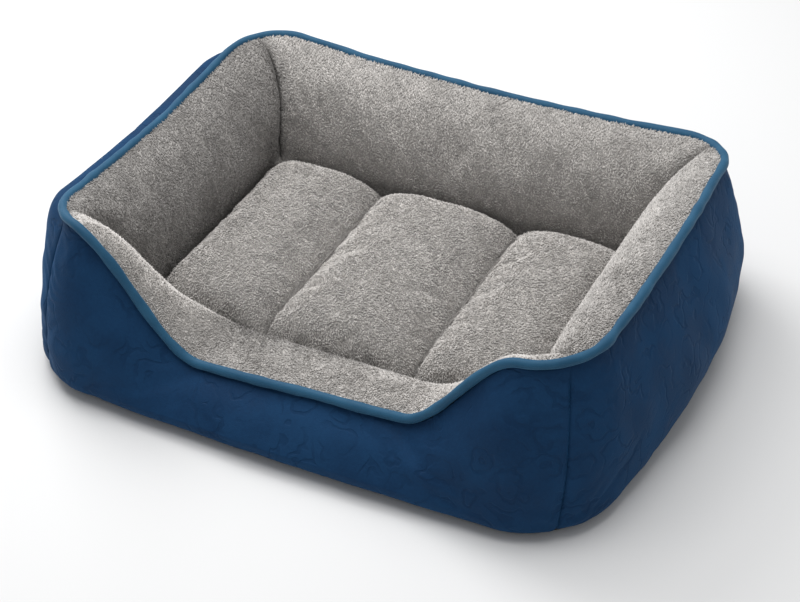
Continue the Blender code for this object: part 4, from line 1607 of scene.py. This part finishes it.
@dataclass(frozen=True)
class Studio:
    """A plain pale floor, a soft key light at the back left, a wide one overhead, and a camera."""

    azimuth: float = math.radians(25.918)
    elevation: float = math.radians(37.397)
    distance: float = 1.9832
    lens: float = 88.135
    roll: float = math.radians(0.285)
    target: Colour = (0.0037, 0.0006, 0.0251)
    floor_tone: float = 0.75
    floor_drift: float = 0.01
    world_strength: float = 0.43
    key_place: Colour = (-1.20, 0.62, 1.35)
    key_size: float = 1.1
    key_power: float = 21.0
    top_place: Colour = (-0.20, 0.05, 2.25)
    top_size: float = 1.8
    top_power: float = 37.0

    def camera(self) -> None:
        """Stand the camera on its azimuth and elevation round the target, with a slight roll."""
        a, e, r = self.azimuth, self.elevation, self.roll
        back = np.array([math.sin(a) * math.cos(e), -math.cos(a) * math.cos(e), math.sin(e)])
        right = np.array([math.cos(a), math.sin(a), 0.0])
        up = np.cross(back, right)
        right, up = right * math.cos(r) + up * math.sin(r), up * math.cos(r) - right * math.sin(r)
        place = np.array(self.target) + back * self.distance
        data = bpy.data.cameras.new("camera")
        data.sensor_fit = "HORIZONTAL"
        data.sensor_width = 36.0
        data.lens = self.lens
        data.clip_start, data.clip_end = 0.05, 50.0
        camera = bpy.data.objects.new("camera", data)
        matrix = np.eye(4)
        matrix[:3] = np.column_stack([right, up, back, place])
        camera.matrix_world = Matrix(matrix.tolist())
        bpy.context.scene.collection.objects.link(camera)
        bpy.context.scene.camera = camera

    def lamp(self, name: str, place: Colour, size: float, power: float) -> None:
        """Hang a square area light that faces the bed.

        Args:
            name: the lamp's name.
            place: where it hangs.
            size: length of its edge.
            power: in watts.
        """
        data = bpy.data.lights.new(name, "AREA")
        data.shape = "SQUARE"
        data.size = size
        data.energy = power
        lamp = bpy.data.objects.new(name, data)
        lamp.location = place
        toward = Vector((0.0, 0.0, 0.05)) - Vector(place)
        lamp.rotation_euler = toward.to_track_quat("-Z", "Y").to_euler()
        bpy.context.scene.collection.objects.link(lamp)

    def lights(self) -> None:
        """Hang the key light at the back left and a wide soft one overhead, in an even pale surround."""
        self.lamp("key", self.key_place, self.key_size, self.key_power)
        self.lamp("overhead", self.top_place, self.top_size, self.top_power)
        world = bpy.data.worlds.new("surround")
        world.use_nodes = True
        background = world.node_tree.nodes["Background"]
        background.inputs["Color"].default_value = (0.98, 0.99, 1.0, 1.0)
        background.inputs["Strength"].default_value = self.world_strength
        bpy.context.scene.world = world
        bpy.context.scene.view_settings.view_transform = "Standard"

    def floor(self) -> None:
        """Lay a pale floor whose tone drifts very slightly."""
        material, nodes, shader = new_finish("studio_floor")
        place = nodes.object_place()
        drift = nodes.noise(place, 1.2, 1.0)
        low, high = (self.floor_tone - self.floor_drift,) * 3, (self.floor_tone + self.floor_drift,) * 3
        nodes.fill(shader, {"Base Color": nodes.blend(drift, low, high), "Roughness": 0.85,
                            "Specular IOR Level": 0.1})
        reach = np.linspace(-6.0, 6.0, 9)
        y, x = np.meshgrid(reach, reach, indexing="ij")
        grid = np.stack([x, y, np.full_like(x, -0.0005)], axis=-1)
        mesh = new_mesh("studio_floor", grid.reshape(-1, 3), grid_quads(9, 9)[:, ::-1])
        mesh.materials.append(material)
        floor = bpy.data.objects.new("studio_floor", mesh)
        bpy.context.scene.collection.objects.link(floor)


def dress_node(name: str, material: bpy.types.Material) -> None:
    """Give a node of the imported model, whose shape stays, its finish."""
    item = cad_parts[name]
    if not item.material_slots:
        item.data.materials.append(material)
    for place in item.material_slots:
        place.material = material


def main() -> None:
    """Build the bed from its frame outwards, then the studio round it."""
    logging.basicConfig(level=logging.INFO, format="%(message)s")
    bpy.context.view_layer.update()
    shared = SharedEffects()
    pile_finish, ground = PileFibre().make(), PlushCloth().make(shared)
    ring = StuffedRing()
    ring.stuff()
    ring.dress(Velvet().make(shared), ground)
    LiningPile(ring).build(pile_finish)
    fibre = Strand("cord_fibre", (0.62, 0.62, 0.60), (0.80, 0.80, 0.78), 2600.0, 0.9).make(shared)
    Piping(ring).build(PipingCloth().make(shared), fibre)
    cushion = SeatCushion()
    cushion.stuff()
    cushion.dress(ground, pile_finish, PlainCloth("cushion_under_weave", (0.012, 0.036, 0.090),
                                                  (0.020, 0.055, 0.130), Weave.UNDER).make(shared))
    BaseCloth(ring.belt).build(PlainCloth("grip_cloth", (0.030, 0.031, 0.034), (0.060, 0.062, 0.066),
                                          Weave.GRIP).make(shared), GripRubber().make(shared))
    WellFloor(ring.crease).build(PlainCloth("floor_cloth", (0.42, 0.42, 0.41), (0.60, 0.60, 0.58),
                                            Weave.LINING).make(shared))
    thread = Strand("stitch_thread", (0.26, 0.245, 0.23), (0.36, 0.34, 0.32), 5200.0).make(shared)
    for word in ("left", "right"):
        dress_node(f"channel_stitch_{word}", thread)
    studio = Studio()
    studio.floor()
    studio.lights()
    studio.camera()


if __name__ == "__main__":
    main()
